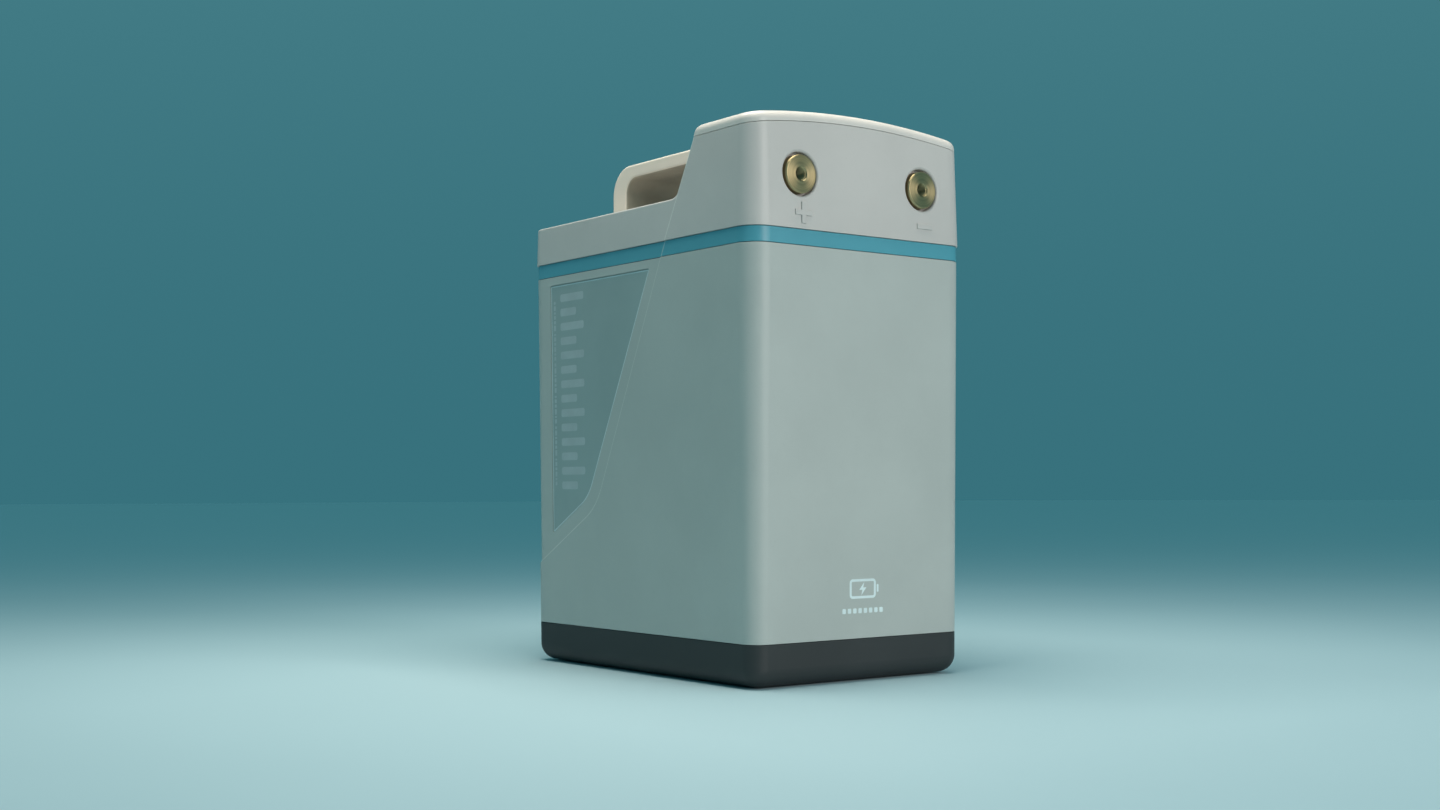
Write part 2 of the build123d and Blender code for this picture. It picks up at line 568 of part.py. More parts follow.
with BuildPart() as lid:
    add(lid_shell.part)
    add(lid_hollow.part, mode=Mode.SUBTRACT)
    # terminal wells, then the marks beside them
    with BuildSketch(Plane.XZ.offset(-WELL_BACK_Y)):
        with Locations(*TERMINALS):
            Circle(WELL_BOSS_RADIUS)
    extrude(amount=WELL_BACK_Y + half_depth - WELL_BOSS_SHORT)
    with BuildSketch(Plane.XZ.offset(-WELL_FLOOR_Y)):
        with Locations(*TERMINALS):
            Circle(WELL_RADIUS)
    extrude(amount=DRILL, mode=Mode.SUBTRACT)
    fillet(well_mouths(lid), radius=WELL_LIP)
    with BuildSketch(Plane.XZ.offset(-WELL_FLOOR_Y - SEAL_THICKNESS * 2)):
        with Locations(*TERMINALS):
            Circle(SEAL_RADIUS + SEAL_GROOVE)
            Circle(SEAL_RADIUS - SEAL_GROOVE, mode=Mode.SUBTRACT)
    extrude(amount=SEAL_THICKNESS * 2 + OVERCUT, mode=Mode.SUBTRACT)
    with BuildSketch(Plane.XZ.offset(-WELL_BACK_Y - OVERCUT)):
        with Locations(*TERMINALS):
            Circle(SHANK_RADIUS + SHANK_CLEARANCE)
    extrude(amount=DRILL, mode=Mode.SUBTRACT)
    with BuildSketch(Plane.XZ.offset(half_depth - MARK_ROOT)):
        with Locations((PLUS_X, MARK_Z)):
            Rectangle(MARK_SIZE, MARK_BAR)
            Rectangle(MARK_BAR, MARK_SIZE)
        with Locations((MINUS_X, MARK_Z)):
            Rectangle(MARK_SIZE, MARK_BAR)
    extrude(amount=MARK_ROOT + LID_OVERHANG - lid_inset(MARK_Z) + MARK_HEIGHT)
    # wells for the screws that hold the lid down
    with BuildSketch(Plane.XY.offset(POST_TOP + TUBE_GAP)):
        with Locations(*corners(POST_X, POST_Y)):
            Circle(WELL_TUBE)
    extrude(amount=DECK_TOP - TUBE_OVERLAP / 2 - POST_TOP)
    with BuildSketch(Plane.XY.offset(DECK_TOP - TUBE_OVERLAP)):
        with Locations(*[(x, -POST_Y) for x in (-POST_X, POST_X)]):
            Circle(WELL_TUBE)
    extrude(amount=SIDE_PARTING - DECK_TOP + TUBE_OVERLAP)
    with BuildSketch(Plane.XY.offset(SCREW_SEAT)):
        with Locations(*corners(POST_X, POST_Y)):
            Circle(SCREW_WELL_RADIUS)
    extrude(amount=TALL_DRILL, mode=Mode.SUBTRACT)
    with BuildSketch(Plane.XY.offset(POST_TOP - OVERCUT)):
        with Locations(*corners(POST_X, POST_Y)):
            Circle(LONG_SCREW_RADIUS + LONG_CLEARANCE)
    extrude(amount=TALL_DRILL, mode=Mode.SUBTRACT)
    # sockets for the cap's pegs
    with BuildSketch(Plane.XY.offset(PEG_BOTTOM - OVERCUT)):
        with Locations(*PEGS):
            Circle(PEG_RADIUS + FIT_GAP)
    extrude(amount=FAR, mode=Mode.SUBTRACT)
    # holes for the handle's screws, up through the deck and back through the slanted wall
    with BuildSketch(Plane.XY.offset(DECK_TOP - DRILL / 2)):
        with Locations(*LEG_SCREWS):
            Circle(LONG_SCREW_RADIUS + LONG_CLEARANCE)
    extrude(amount=DRILL, mode=Mode.SUBTRACT)
    with BuildSketch(foot_plane(-DRILL / 2)):
        with Locations(*FOOT_SCREWS):
            Circle(LONG_SCREW_RADIUS + LONG_CLEARANCE)
    extrude(amount=DRILL, mode=Mode.SUBTRACT)

with BuildPart() as lid_screws:
    with BuildSketch(Plane.XY.offset(SCREW_SEAT)):
        with Locations(*corners(POST_X, POST_Y)):
            Circle(LONG_HEAD_RADIUS)
            RegularPolygon(LONG_SOCKET / 2, 6, major_radius=False, mode=Mode.SUBTRACT)
    extrude(amount=LONG_HEAD)
    with BuildSketch(Plane.XY.offset(SCREW_SEAT + LONG_HEAD * SOCKET_FLOOR)):
        with Locations(*corners(POST_X, POST_Y)):
            Circle(LONG_SCREW_RADIUS)
    extrude(amount=-LONG_HEAD * SOCKET_FLOOR - LONG_SCREW_LENGTH)

with BuildPart() as deck_plugs:
    with BuildSketch(Plane.XY.offset(SCREW_SEAT + LONG_HEAD + PLUG_GAP)):
        with Locations(*[(x, POST_Y) for x in (-POST_X, POST_X)]):
            Circle(SCREW_WELL_RADIUS)
    extrude(amount=DECK_TOP - SCREW_SEAT - LONG_HEAD - PLUG_GAP)

# ---- cap and carry handle -----------------------------------------------------------------------

with BuildPart() as cap_hollow:
    add(lid_block(CAP_START, LID_LIMIT, CAP_WALL))
    add(lid_profile(CAP_WALL), mode=Mode.INTERSECT)
    add(crown_prism(CAP_HEIGHT - CAP_WALL), mode=Mode.INTERSECT)

with BuildPart() as top_cap:
    add(lid_block(CAP_START, LID_LIMIT, 0.0))
    add(lid_profile(0.0), mode=Mode.INTERSECT)
    add(crown_prism(CAP_HEIGHT), mode=Mode.INTERSECT)
    add(crown_prism(SHADOW_GAP), mode=Mode.SUBTRACT)
    fillet(top_cap.faces().sort_by(Axis.Z)[-1].edges(), radius=CAP_ROLL)
    add(cap_hollow.part, mode=Mode.SUBTRACT)
    with BuildSketch(Plane.YZ):
        with BuildLine():
            Polyline(
                (seam_y(HANDLE_TOP, HANDLE_TONGUE + HANDLE_NOTCH_GAP), FAR),
                (seam_y(HANDLE_TOP, HANDLE_TONGUE + HANDLE_NOTCH_GAP), SIDE_PARTING),
                (0, SIDE_PARTING),
                (0, FAR),
                close=True,
            )
        make_face()
    extrude(amount=HANDLE_HALF_WIDTH + HANDLE_NOTCH_GAP, both=True, mode=Mode.SUBTRACT)
    with BuildSketch(Plane.XY.offset(PEG_BOTTOM)):
        with Locations(*PEGS):
            Circle(PEG_RADIUS)
    extrude(amount=PEG_TOP - PEG_BOTTOM)

with BuildPart() as handle_loop:
    with BuildSketch(Plane.YZ) as outline:
        with BuildLine():
            Polyline(
                (HANDLE_REAR, DECK_TOP),
                (HANDLE_REAR, HANDLE_TOP),
                (seam_y(HANDLE_TOP, HANDLE_TONGUE), HANDLE_TOP),
                (seam_y(HANDLE_TONGUE_BOTTOM, HANDLE_TONGUE), HANDLE_TONGUE_BOTTOM),
                (seam_y(HANDLE_TONGUE_BOTTOM), HANDLE_TONGUE_BOTTOM),
                (seam_y(HANDLE_FOOT_BOTTOM), HANDLE_FOOT_BOTTOM),
                (seam_y(HANDLE_FOOT_BOTTOM, -HANDLE_FOOT), HANDLE_FOOT_BOTTOM),
                (seam_y(HANDLE_UNDERSIDE, -HANDLE_FOOT), HANDLE_UNDERSIDE),
                (HANDLE_LEG_FRONT, HANDLE_UNDERSIDE),
                (HANDLE_LEG_FRONT, DECK_TOP),
                close=True,
            )
        make_face()
        foot_top = (seam_y(HANDLE_UNDERSIDE, -HANDLE_FOOT), HANDLE_UNDERSIDE)
        foot_heel = (seam_y(HANDLE_FOOT_BOTTOM, -HANDLE_FOOT), HANDLE_FOOT_BOTTOM)
        fillet(corner_at(outline, HANDLE_REAR, HANDLE_TOP), radius=HANDLE_OUTER_ROUND)
        fillet(corner_at(outline, HANDLE_LEG_FRONT, HANDLE_UNDERSIDE), radius=HANDLE_INNER_ROUND)
        fillet(corner_at(outline, *foot_top), radius=HANDLE_FOOT_BLEND)
        fillet(corner_at(outline, *foot_heel), radius=HANDLE_HEEL)
    extrude(amount=HANDLE_HALF_WIDTH, both=True)

with BuildPart() as carry_handle:
    add(handle_loop.part)
    sides = carry_handle.faces().filter_by(Axis.X)
    fillet([e for e in sides.edges() if e.center().Z > DECK_TOP + OVERCUT], radius=HANDLE_EDGE)
    with BuildSketch(Plane.XY.offset(DECK_TOP)):
        with Locations(*LEG_SCREWS):
            Circle(INSERT_RADIUS)
    extrude(amount=INSERT_LENGTH + HANDLE_RELIEF, mode=Mode.SUBTRACT)
    with BuildSketch(foot_plane(0)):
        with Locations(*FOOT_SCREWS):
            Circle(INSERT_RADIUS)
    extrude(amount=FOOT_INSERT_LENGTH, mode=Mode.SUBTRACT)

with BuildPart() as handle_inserts:
    with BuildSketch(Plane.XY.offset(DECK_TOP)):
        with Locations(*LEG_SCREWS):
            Circle(INSERT_RADIUS)
            Circle(LONG_SCREW_RADIUS, mode=Mode.SUBTRACT)
    extrude(amount=INSERT_LENGTH)
    with BuildSketch(foot_plane(0)):
        with Locations(*FOOT_SCREWS):
            Circle(INSERT_RADIUS)
            Circle(LONG_SCREW_RADIUS, mode=Mode.SUBTRACT)
    extrude(amount=FOOT_INSERT_LENGTH)

with BuildPart() as handle_screws:
    with BuildSketch(Plane.XY.offset(DECK_TOP - LID_TOP_WALL)):
        with Locations(*LEG_SCREWS):
            Circle(LONG_HEAD_RADIUS)
            RegularPolygon(LONG_SOCKET / 2, 6, major_radius=False, mode=Mode.SUBTRACT)
    extrude(amount=-LONG_HEAD)
    with BuildSketch(Plane.XY.offset(DECK_TOP - LID_TOP_WALL - LONG_HEAD * SOCKET_FLOOR)):
        with Locations(*LEG_SCREWS):
            Circle(LONG_SCREW_RADIUS)
    extrude(amount=LONG_HEAD * SOCKET_FLOOR + LID_TOP_WALL + INSERT_LENGTH)
    with BuildSketch(foot_plane(-LID_TOP_WALL)):
        with Locations(*FOOT_SCREWS):
            Circle(LONG_HEAD_RADIUS)
            RegularPolygon(LONG_SOCKET / 2, 6, major_radius=False, mode=Mode.SUBTRACT)
    extrude(amount=-LONG_HEAD)
    with BuildSketch(foot_plane(-LID_TOP_WALL - LONG_HEAD * SOCKET_FLOOR)):
        with Locations(*FOOT_SCREWS):
            Circle(LONG_SCREW_RADIUS)
    extrude(amount=LONG_HEAD * SOCKET_FLOOR + LID_TOP_WALL + FOOT_INSERT_LENGTH)


# ---- terminals ----------------------------------------------------------------------------------


def terminal(x):
    """A turned brass terminal on the axis at x, its thread open to the front."""
    disc_edge = DISC_FRONT_Y + DISC_CHAMFER
    bore_mouth = DISC_FRONT_Y + THREAD_CHAMFER_RADIUS - THREAD_BORE_RADIUS
    bore_end = DISC_FRONT_Y + THREAD_DEPTH
    profile = [
        (THREAD_CHAMFER_RADIUS, DISC_FRONT_Y),
        (DISC_RADIUS - DISC_CHAMFER, DISC_FRONT_Y),
        (DISC_RADIUS, disc_edge),
        (DISC_RADIUS, WELL_FLOOR_Y),
        (SHANK_RADIUS, WELL_FLOOR_Y),
        (SHANK_RADIUS, SHANK_END_Y),
        (0, SHANK_END_Y),
        (0, bore_end + THREAD_BORE_RADIUS * DRILL_POINT),
        (THREAD_BORE_RADIUS, bore_end),
        (THREAD_BORE_RADIUS, bore_mouth),
    ]
    with BuildPart() as turned:
        with BuildSketch(Plane.XY.offset(TERMINAL_Z)):
            with BuildLine():
                Polyline(*[(x + r, y) for r, y in profile], close=True)
            make_face()
        revolve(axis=Axis((x, 0, TERMINAL_Z), (0, 1, 0)))
    return turned.part


terminal_positive = terminal(-TERMINAL_X)
terminal_negative = terminal(TERMINAL_X)

with BuildPart() as terminal_seals:
    for x in (-TERMINAL_X, TERMINAL_X):
        with BuildSketch(Plane.XY.offset(TERMINAL_Z)):
            with Locations((x + SEAL_RADIUS, WELL_FLOOR_Y + SEAL_THICKNESS)):
                Circle(SEAL_THICKNESS)
        revolve(axis=Axis((x, 0, TERMINAL_Z), (0, 1, 0)))

with BuildPart() as terminal_washers:
    with BuildSketch(Plane.XZ.offset(-WELL_BACK_Y - WASHER_THICKNESS)):
        with Locations(*TERMINALS):
            Circle(WASHER_RADIUS)
            Circle(SHANK_RADIUS + FIT_GAP, mode=Mode.SUBTRACT)
    extrude(amount=WASHER_THICKNESS)

with BuildPart() as terminal_nuts:
    with BuildSketch(Plane.XZ.offset(-WELL_BACK_Y - WASHER_THICKNESS - LINK_THICKNESS - NUT_THICKNESS)):
        with Locations(*TERMINALS):
            RegularPolygon(NUT_FLATS / 2, 6, major_radius=False)
            Circle(SHANK_RADIUS, mode=Mode.SUBTRACT)
    extrude(amount=NUT_THICKNESS)

# ---- cells --------------------------------------------------------------------------------------


def cell_y(index):
    """The middle of a cell along the pack, counted from the front."""
    return (index - (CELL_COUNT - 1) / 2) * CELL_PITCH


def positive_side(index):
    """Cells work in pairs, and each pair is turned round from the last, so that they join in series."""
    return -1 if index // 2 % 2 == 0 else 1


def block(x_range, y_range, z_range):
    """A plain block between two corners."""
    (x0, x1), (y0, y1), (z0, z1) = x_range, y_range, z_range
    with BuildPart() as solid:
        with BuildSketch(Plane.XY.offset(z0)):
            with Locations(((x0 + x1) / 2, (y0 + y1) / 2)):
                Rectangle(x1 - x0, y1 - y0)
        extrude(amount=z1 - z0)
    return solid.part


def cell(index):
    """One prismatic cell's can, its lid plate set in a little."""
    with BuildPart() as can:
        with BuildSketch(Plane.XY.offset(CELL_BOTTOM)):
            with Locations((0, cell_y(index))):
                RectangleRounded(CELL_WIDTH, CELL_THICKNESS, CELL_CORNER)
        extrude(amount=CELL_HEIGHT)
        with BuildSketch(Plane.XY.offset(CELL_TOP)):
            with Locations((0, cell_y(index))):
                RectangleRounded(CELL_WIDTH, CELL_THICKNESS, CELL_CORNER)
                offset(amount=-CELL_RIM_WALL, mode=Mode.SUBTRACT)
        extrude(amount=CELL_RIM)
    return can.part


def cell_posts(polarity):
    """The posts of one polarity on every cell, each with its stud."""
    places = [(polarity * positive_side(i) * CELL_POST_X, cell_y(i)) for i in range(CELL_COUNT)]
    with BuildPart() as posts:
        with BuildSketch(Plane.XY.offset(CELL_TOP)):
            with Locations(*places):
                Circle(CELL_POST_RADIUS)
        extrude(amount=CELL_POST_HEIGHT)
        with BuildSketch(Plane.XY.offset(CELL_TOP + CELL_POST_HEIGHT)):
            with Locations(*places):
                Circle(STUD_RADIUS)
        extrude(amount=STUD_HEIGHT)
    return posts.part


cells = [cell(i) for i in range(CELL_COUNT)]
cell_posts_positive = cell_posts(1)
cell_posts_negative = cell_posts(-1)
stud_places = [(side * CELL_POST_X, cell_y(i)) for side in (-1, 1) for i in range(CELL_COUNT)]
bar_bottom = CELL_TOP + CELL_POST_HEIGHT
bar_top = bar_bottom + BUSBAR_THICKNESS

with BuildPart() as cell_vents:
    with BuildSketch(Plane.XY.offset(CELL_TOP)):
        with Locations(*[(0, cell_y(i)) for i in range(CELL_COUNT)]):
            Circle(VENT_RADIUS)
    extrude(amount=VENT_THICKNESS)

with BuildPart() as cell_separators:
    for i in range(CELL_COUNT - 1):
        gap = (cell_y(i) + cell_y(i + 1)) / 2
        add(
            block(
                (-CELL_WIDTH / 2, CELL_WIDTH / 2),
                (gap - SEPARATOR / 2, gap + SEPARATOR / 2),
                (CELL_BOTTOM, CELL_TOP - SEPARATOR_DROP),
            )
        )

with BuildPart() as cell_busbars:
    with BuildSketch(Plane.XY.offset(bar_bottom)):
        for side, first, last in BARS:
            with Locations((side * CELL_POST_X, (cell_y(first) + cell_y(last)) / 2)):
                RectangleRounded(BUSBAR_WIDTH, cell_y(last) - cell_y(first) + BUSBAR_WIDTH, BUSBAR_CORNER)
        with Locations(*stud_places):
            Circle(STUD_RADIUS + FIT_GAP, mode=Mode.SUBTRACT)
    extrude(amount=BUSBAR_THICKNESS)

with BuildPart() as busbar_nuts:
    with BuildSketch(Plane.XY.offset(bar_top)):
        with Locations(*stud_places):
            RegularPolygon(NUT6_FLATS / 2, 6, major_radius=False)
            Circle(STUD_RADIUS, mode=Mode.SUBTRACT)
    extrude(amount=NUT6_THICKNESS)

stack_end = CELL_COUNT * CELL_PITCH / 2 - SEPARATOR / 2


def end_plate(side):
    """A ribbed plate that closes one end of the stack (side is -1 at the front, 1 at the rear)."""
    low, high = CELL_BOTTOM + END_PLATE_LOW, CELL_TOP - END_PLATE_SHORT
    inner, outer = side * stack_end, side * (stack_end + END_PLATE)
    with BuildPart() as plate:
        add(block((-CELL_WIDTH / 2, CELL_WIDTH / 2), sorted((inner, outer)), (low, high)))
        with BuildSketch(Plane.XZ.offset(-outer)):
            with Locations((0, (low + high) / 2)):
                with GridLocations(*PANEL_PITCH, *PANEL_COUNT):
                    RectangleRounded(*PANEL_SIZE, PANEL_CORNER)
        extrude(amount=side * END_PLATE / 2, mode=Mode.SUBTRACT)
    return plate.part


front_end_plate = end_plate(-1)
rear_end_plate = end_plate(1)

with BuildPart() as pack_straps:
    for height in STRAP_HEIGHTS:
        with BuildSketch(Plane.XY.offset(height)):
            inner = (CELL_WIDTH + 2 * FIT_GAP, 2 * (stack_end + END_PLATE + FIT_GAP))
            Rectangle(inner[0] + 2 * STRAP_THICKNESS, inner[1] + 2 * STRAP_THICKNESS)
            Rectangle(*inner, mode=Mode.SUBTRACT)
        extrude(amount=STRAP_WIDTH)

with BuildPart() as base_foam:
    foam_x, foam_y = (-BASE_FOAM_X, BASE_FOAM_X), (-BASE_FOAM_Y, BASE_FOAM_Y)
    add(block(foam_x, foam_y, (FLOOR_TOP, FLOOR_TOP + BASE_FOAM)))

with BuildPart() as side_foam:
    for side in (-1, 1):
        inner = side * (CELL_WIDTH / 2 + FIT_GAP)
        add(
            block(
                sorted((inner, inner + side * FOAM_THICKNESS)),
                (-FOAM_LENGTH / 2, FOAM_LENGTH / 2),
                (FOAM_BOTTOM, FOAM_BOTTOM + FOAM_HEIGHT),
            )
        )

# ---- power path ---------------------------------------------------------------------------------

lug_front = WELL_BACK_Y + WASHER_THICKNESS
lug = (lug_front, lug_front + LINK_THICKNESS)
link_level = (bar_top, bar_top + LINK_THICKNESS)
lane = (LANE_X - LINK_WIDTH / 2, LANE_X + LINK_WIDTH / 2)
board_top = BOARD_BOTTOM + BOARD_THICKNESS
board_level = (board_top, board_top + LINK_THICKNESS)


def terminal_riser(x, low):
    """An upright bar behind a terminal, with the hole that its shank goes through."""
    with BuildPart() as riser:
        add(block((x - LINK_WIDTH / 2, x + LINK_WIDTH / 2), lug, (low, TERMINAL_Z + RISER_ABOVE)))
        with BuildSketch(Plane.XZ.offset(-lug[1])):
            with Locations((x, TERMINAL_Z)):
                Circle(WASHER_RADIUS)
        extrude(amount=LINK_THICKNESS)
        with BuildSketch(Plane.XZ.offset(-lug[1])):
            with Locations((x, TERMINAL_Z)):
                Circle(SHANK_RADIUS + FIT_GAP)
        extrude(amount=LINK_THICKNESS, mode=Mode.SUBTRACT)
    return riser.part


with BuildPart() as positive_link:
    rear_bar_y = (cell_y(6) + cell_y(7)) / 2
    rear_bar = (rear_bar_y - LINK_WIDTH / 2, rear_bar_y + LINK_WIDTH / 2)
    add(block((lane[0], CELL_POST_X - NUT6_GAP), rear_bar, link_level))
    add(block(lane, (FUSE_REAR + FUSE_TAG, rear_bar[1]), link_level))

with BuildPart() as main_fuse:
    fuse_x = (lane[0] - FUSE_SIDE, lane[1] + FUSE_SIDE)
    fuse_z = (bar_top - FUSE_BELOW, bar_top + FUSE_ABOVE)
    add(block(fuse_x, (FUSE_FRONT, FUSE_REAR), fuse_z))
    add(block(lane, (FUSE_FRONT - FUSE_TAG, FUSE_REAR + FUSE_TAG), link_level))

with BuildPart() as positive_busbar:
    add(block(lane, (lug_front, FUSE_FRONT - FUSE_TAG), link_level))
    add(block((-TERMINAL_X - LINK_WIDTH / 2, lane[1]), (lug_front, lug_front + RISER_FOOT), link_level))
    add(terminal_riser(-TERMINAL_X, bar_top))

with BuildPart() as negative_link:
    upright_x = (NEGATIVE_OUTER - LINK_THICKNESS, NEGATIVE_OUTER)
    front_end = (NEGATIVE_FRONT, NEGATIVE_FRONT + LINK_WIDTH)
    rear_end = (NEGATIVE_REAR - LINK_WIDTH, NEGATIVE_REAR)
    add(block((CELL_POST_X + NUT6_CORNER_GAP, NEGATIVE_OUTER), front_end, link_level))
    add(block(upright_x, (NEGATIVE_FRONT, NEGATIVE_REAR), (bar_top, board_level[1])))
    add(block((NEGATIVE_INNER, NEGATIVE_OUTER), rear_end, board_level))

with BuildPart() as negative_busbar:
    bar_x = (TERMINAL_X - LINK_WIDTH / 2, NEGATIVE_BAR_EDGE)
    add(block(bar_x, (lug_front, NEGATIVE_BAR_REAR), board_level))
    add(terminal_riser(TERMINAL_X, board_top))

# ---- battery management system ------------------------------------------------------------------

hole_x, hole_y = BOARD_WIDTH / 2 - BOARD_HOLE_INSET, BOARD_DEPTH / 2 - BOARD_HOLE_INSET
board_corners = [(x, BOARD_Y + y) for x, y in corners(hole_x, hole_y)]
carrier_top = CARRIER_BOTTOM + CARRIER_THICKNESS

with BuildPart() as bms_carrier:
    with BuildSketch(Plane.XY.offset(CARRIER_BOTTOM)):
        RectangleRounded(CARRIER_WIDTH, CARRIER_DEPTH, CARRIER_CORNER)
        with GridLocations(*WINDOW_PITCH, *WINDOW_COUNT):
            RectangleRounded(*WINDOW_SIZE, WINDOW_CORNER, mode=Mode.SUBTRACT)
    extrude(amount=CARRIER_THICKNESS)
    with BuildSketch(Plane.XY.offset(CELL_TOP + CELL_RIM)):
        with Locations(*CARRIER_LEGS):
            Circle(CARRIER_LEG_RADIUS)
    extrude(amount=CARRIER_BOTTOM - CELL_TOP - CELL_RIM)
    with BuildSketch(Plane.XY.offset(carrier_top)):
        with Locations(*board_corners):
            Circle(STANDOFF_RADIUS)
    extrude(amount=BOARD_BOTTOM - carrier_top)
    with BuildSketch(Plane.XY.offset(carrier_top)):
        with Locations(*board_corners):
            Circle(BOARD_SCREW_RADIUS)
    extrude(amount=BOARD_BOTTOM - carrier_top, mode=Mode.SUBTRACT)

with BuildPart() as bms_board:
    with BuildSketch(Plane.XY.offset(BOARD_BOTTOM)):
        with Locations((0, BOARD_Y)):
            RectangleRounded(BOARD_WIDTH, BOARD_DEPTH, BOARD_CORNER)
        with Locations(*board_corners):
            Circle(BOARD_SCREW_RADIUS + FIT_GAP, mode=Mode.SUBTRACT)
    extrude(amount=BOARD_THICKNESS)

with BuildPart() as bms_screws:
    with BuildSketch(Plane.XY.offset(board_top)):
        with Locations(*board_corners):
            Circle(BOARD_HEAD_RADIUS)
    extrude(amount=BOARD_HEAD)
    with BuildSketch(Plane.XY.offset(board_top)):
        with Locations(*board_corners):
            Circle(BOARD_SCREW_RADIUS)
    extrude(amount=carrier_top - board_top)

transistor_top = board_top + TRANSISTOR_HEIGHT

with BuildPart() as bms_transistors:
    with BuildSketch(Plane.XY.offset(board_top)):
        with Locations(TRANSISTOR_MIDDLE):
            with GridLocations(*TRANSISTOR_PITCH, *TRANSISTOR_COUNT):
                Rectangle(*TRANSISTOR_SIZE)
    extrude(amount=TRANSISTOR_HEIGHT)

with BuildPart() as bms_heat_sink:
    with BuildSketch(Plane.XY.offset(transistor_top)):
        with Locations(TRANSISTOR_MIDDLE):
            Rectangle(HEAT_SINK_WIDTH, HEAT_SINK_DEPTH)
    extrude(amount=HEAT_SINK_BASE)
    with BuildSketch(Plane.XY.offset(transistor_top + HEAT_SINK_BASE)):
        with Locations(TRANSISTOR_MIDDLE):
            with GridLocations(FIN_PITCH, 0, FIN_COUNT, 1):
                Rectangle(FIN_THICKNESS, HEAT_SINK_DEPTH)
    extrude(amount=FIN_HEIGHT)

with BuildPart() as bms_shunt:
    strip_bottom = board_top + SHUNT_RISE
    add(block(SHUNT_X, SHUNT_Y, (strip_bottom, strip_bottom + SHUNT_THICKNESS)))
    foot_x = (SHUNT_X[0] + SHUNT_FOOT_INSET, SHUNT_X[1] - SHUNT_FOOT_INSET)
    for low in (SHUNT_Y[0], SHUNT_Y[1] - SHUNT_FOOT):
        add(block(foot_x, (low, low + SHUNT_FOOT), (board_top, strip_bottom)))

with BuildPart() as bms_connectors:
    with BuildSketch(Plane.XY.offset(board_top)):
        with Locations(*CONNECTORS):
            Rectangle(*CONNECTOR_SIZE)
    extrude(amount=CONNECTOR_HEIGHT)
    with BuildSketch(Plane.XY.offset(board_top + CONNECTOR_FLOOR)):
        with Locations(*CONNECTORS):
            Rectangle(*[side - 2 * CONNECTOR_WALL for side in CONNECTOR_SIZE])
    extrude(amount=CONNECTOR_HEIGHT, mode=Mode.SUBTRACT)

with BuildPart() as bms_chips:
    with BuildSketch(Plane.XY.offset(board_top)):
        with Locations(*CHIPS):
            Rectangle(CHIP_SIZE, CHIP_SIZE)
    extrude(amount=CHIP_HEIGHT)

with BuildPart() as bms_capacitors:
    with BuildSketch(Plane.XY.offset(board_top)):
        with Locations(*CAPACITORS):
            Circle(CAPACITOR_RADIUS)
    extrude(amount=CAPACITOR_HEIGHT)

# The flat sense circuit lies along the cells and folds up behind the carrier to the board
flex_back = (CARRIER_DEPTH / 2 + 1, CARRIER_DEPTH / 2 + 1 + FLEX_THICKNESS)
flex_low = (bar_top + FLEX_RISE, bar_top + FLEX_RISE + FLEX_THICKNESS)
flex_high = (BOARD_BOTTOM + FLEX_OVER, BOARD_BOTTOM + FLEX_OVER + FLEX_THICKNESS)
flex_x = (-FLEX_WIDTH / 2, FLEX_WIDTH / 2)

with BuildPart() as sense_flex:
    add(block(flex_x, (cell_y(0), flex_back[0]), flex_low))
    add(block(flex_x, flex_back, (flex_low[0], flex_high[0])))
    add(block((flex_x[0], FLEX_SIDE), (FLEX_FRONT, flex_back[1]), flex_high))

# ---- files --------------------------------------------------------------------------------------

pieces = {
    "base_tray": base_tray.part,
    "rubber_feet": rubber_feet.part,
    "base_screws": base_screws.part,
    "main_case": main_case.part,
    "case_inserts": case_inserts.part,
    "label_panel_left": label_panel_left,
    "label_panel_right": label_panel_right,
    "trim_band": trim_band.part,
    "case_gasket": case_gasket.part,
    "lid_gasket": lid_gasket.part,
    "lid": lid.part,
    "lid_screws": lid_screws.part,
    "deck_plugs": deck_plugs.part,
    "top_cap": top_cap.part,
    "carry_handle": carry_handle.part,
    "handle_inserts": handle_inserts.part,
    "handle_screws": handle_screws.part,
    "terminal_positive": terminal_positive,
    "terminal_negative": terminal_negative,
    "terminal_seals": terminal_seals.part,
    "terminal_washers": terminal_washers.part,
    "terminal_nuts": terminal_nuts.part,
    "cell_posts_positive": cell_posts_positive,
    "cell_posts_negative": cell_posts_negative,
    "cell_vents": cell_vents.part,
    "cell_separators": cell_separators.part,
    "cell_busbars": cell_busbars.part,
    "busbar_nuts": busbar_nuts.part,
    "front_end_plate": front_end_plate,
    "rear_end_plate": rear_end_plate,
    "pack_straps": pack_straps.part,
    "base_foam": base_foam.part,
    "side_foam": side_foam.part,
    "positive_link": positive_link.part,
    "main_fuse": main_fuse.part,
    "positive_busbar": positive_busbar.part,
    "negative_link": negative_link.part,
    "negative_busbar": negative_busbar.part,
    "bms_carrier": bms_carrier.part,
    "bms_board": bms_board.part,
    "bms_screws": bms_screws.part,
    "bms_transistors": bms_transistors.part,
    "bms_heat_sink": bms_heat_sink.part,
    "bms_shunt": bms_shunt.part,
    "bms_connectors": bms_connectors.part,
    "bms_chips": bms_chips.part,
    "bms_capacitors": bms_capacitors.part,
    "sense_flex": sense_flex.part,
}
pieces.update({f"cell_{i + 1}": can for i, can in enumerate(cells)})

for name, piece in pieces.items():
    piece.label = name
    export_step(piece, f"parts/{name}.step")
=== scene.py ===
import json
import math

import bmesh
import bpy
from bpy.props import FloatProperty, FloatVectorProperty, IntProperty, PointerProperty
from mathutils import Matrix, Vector


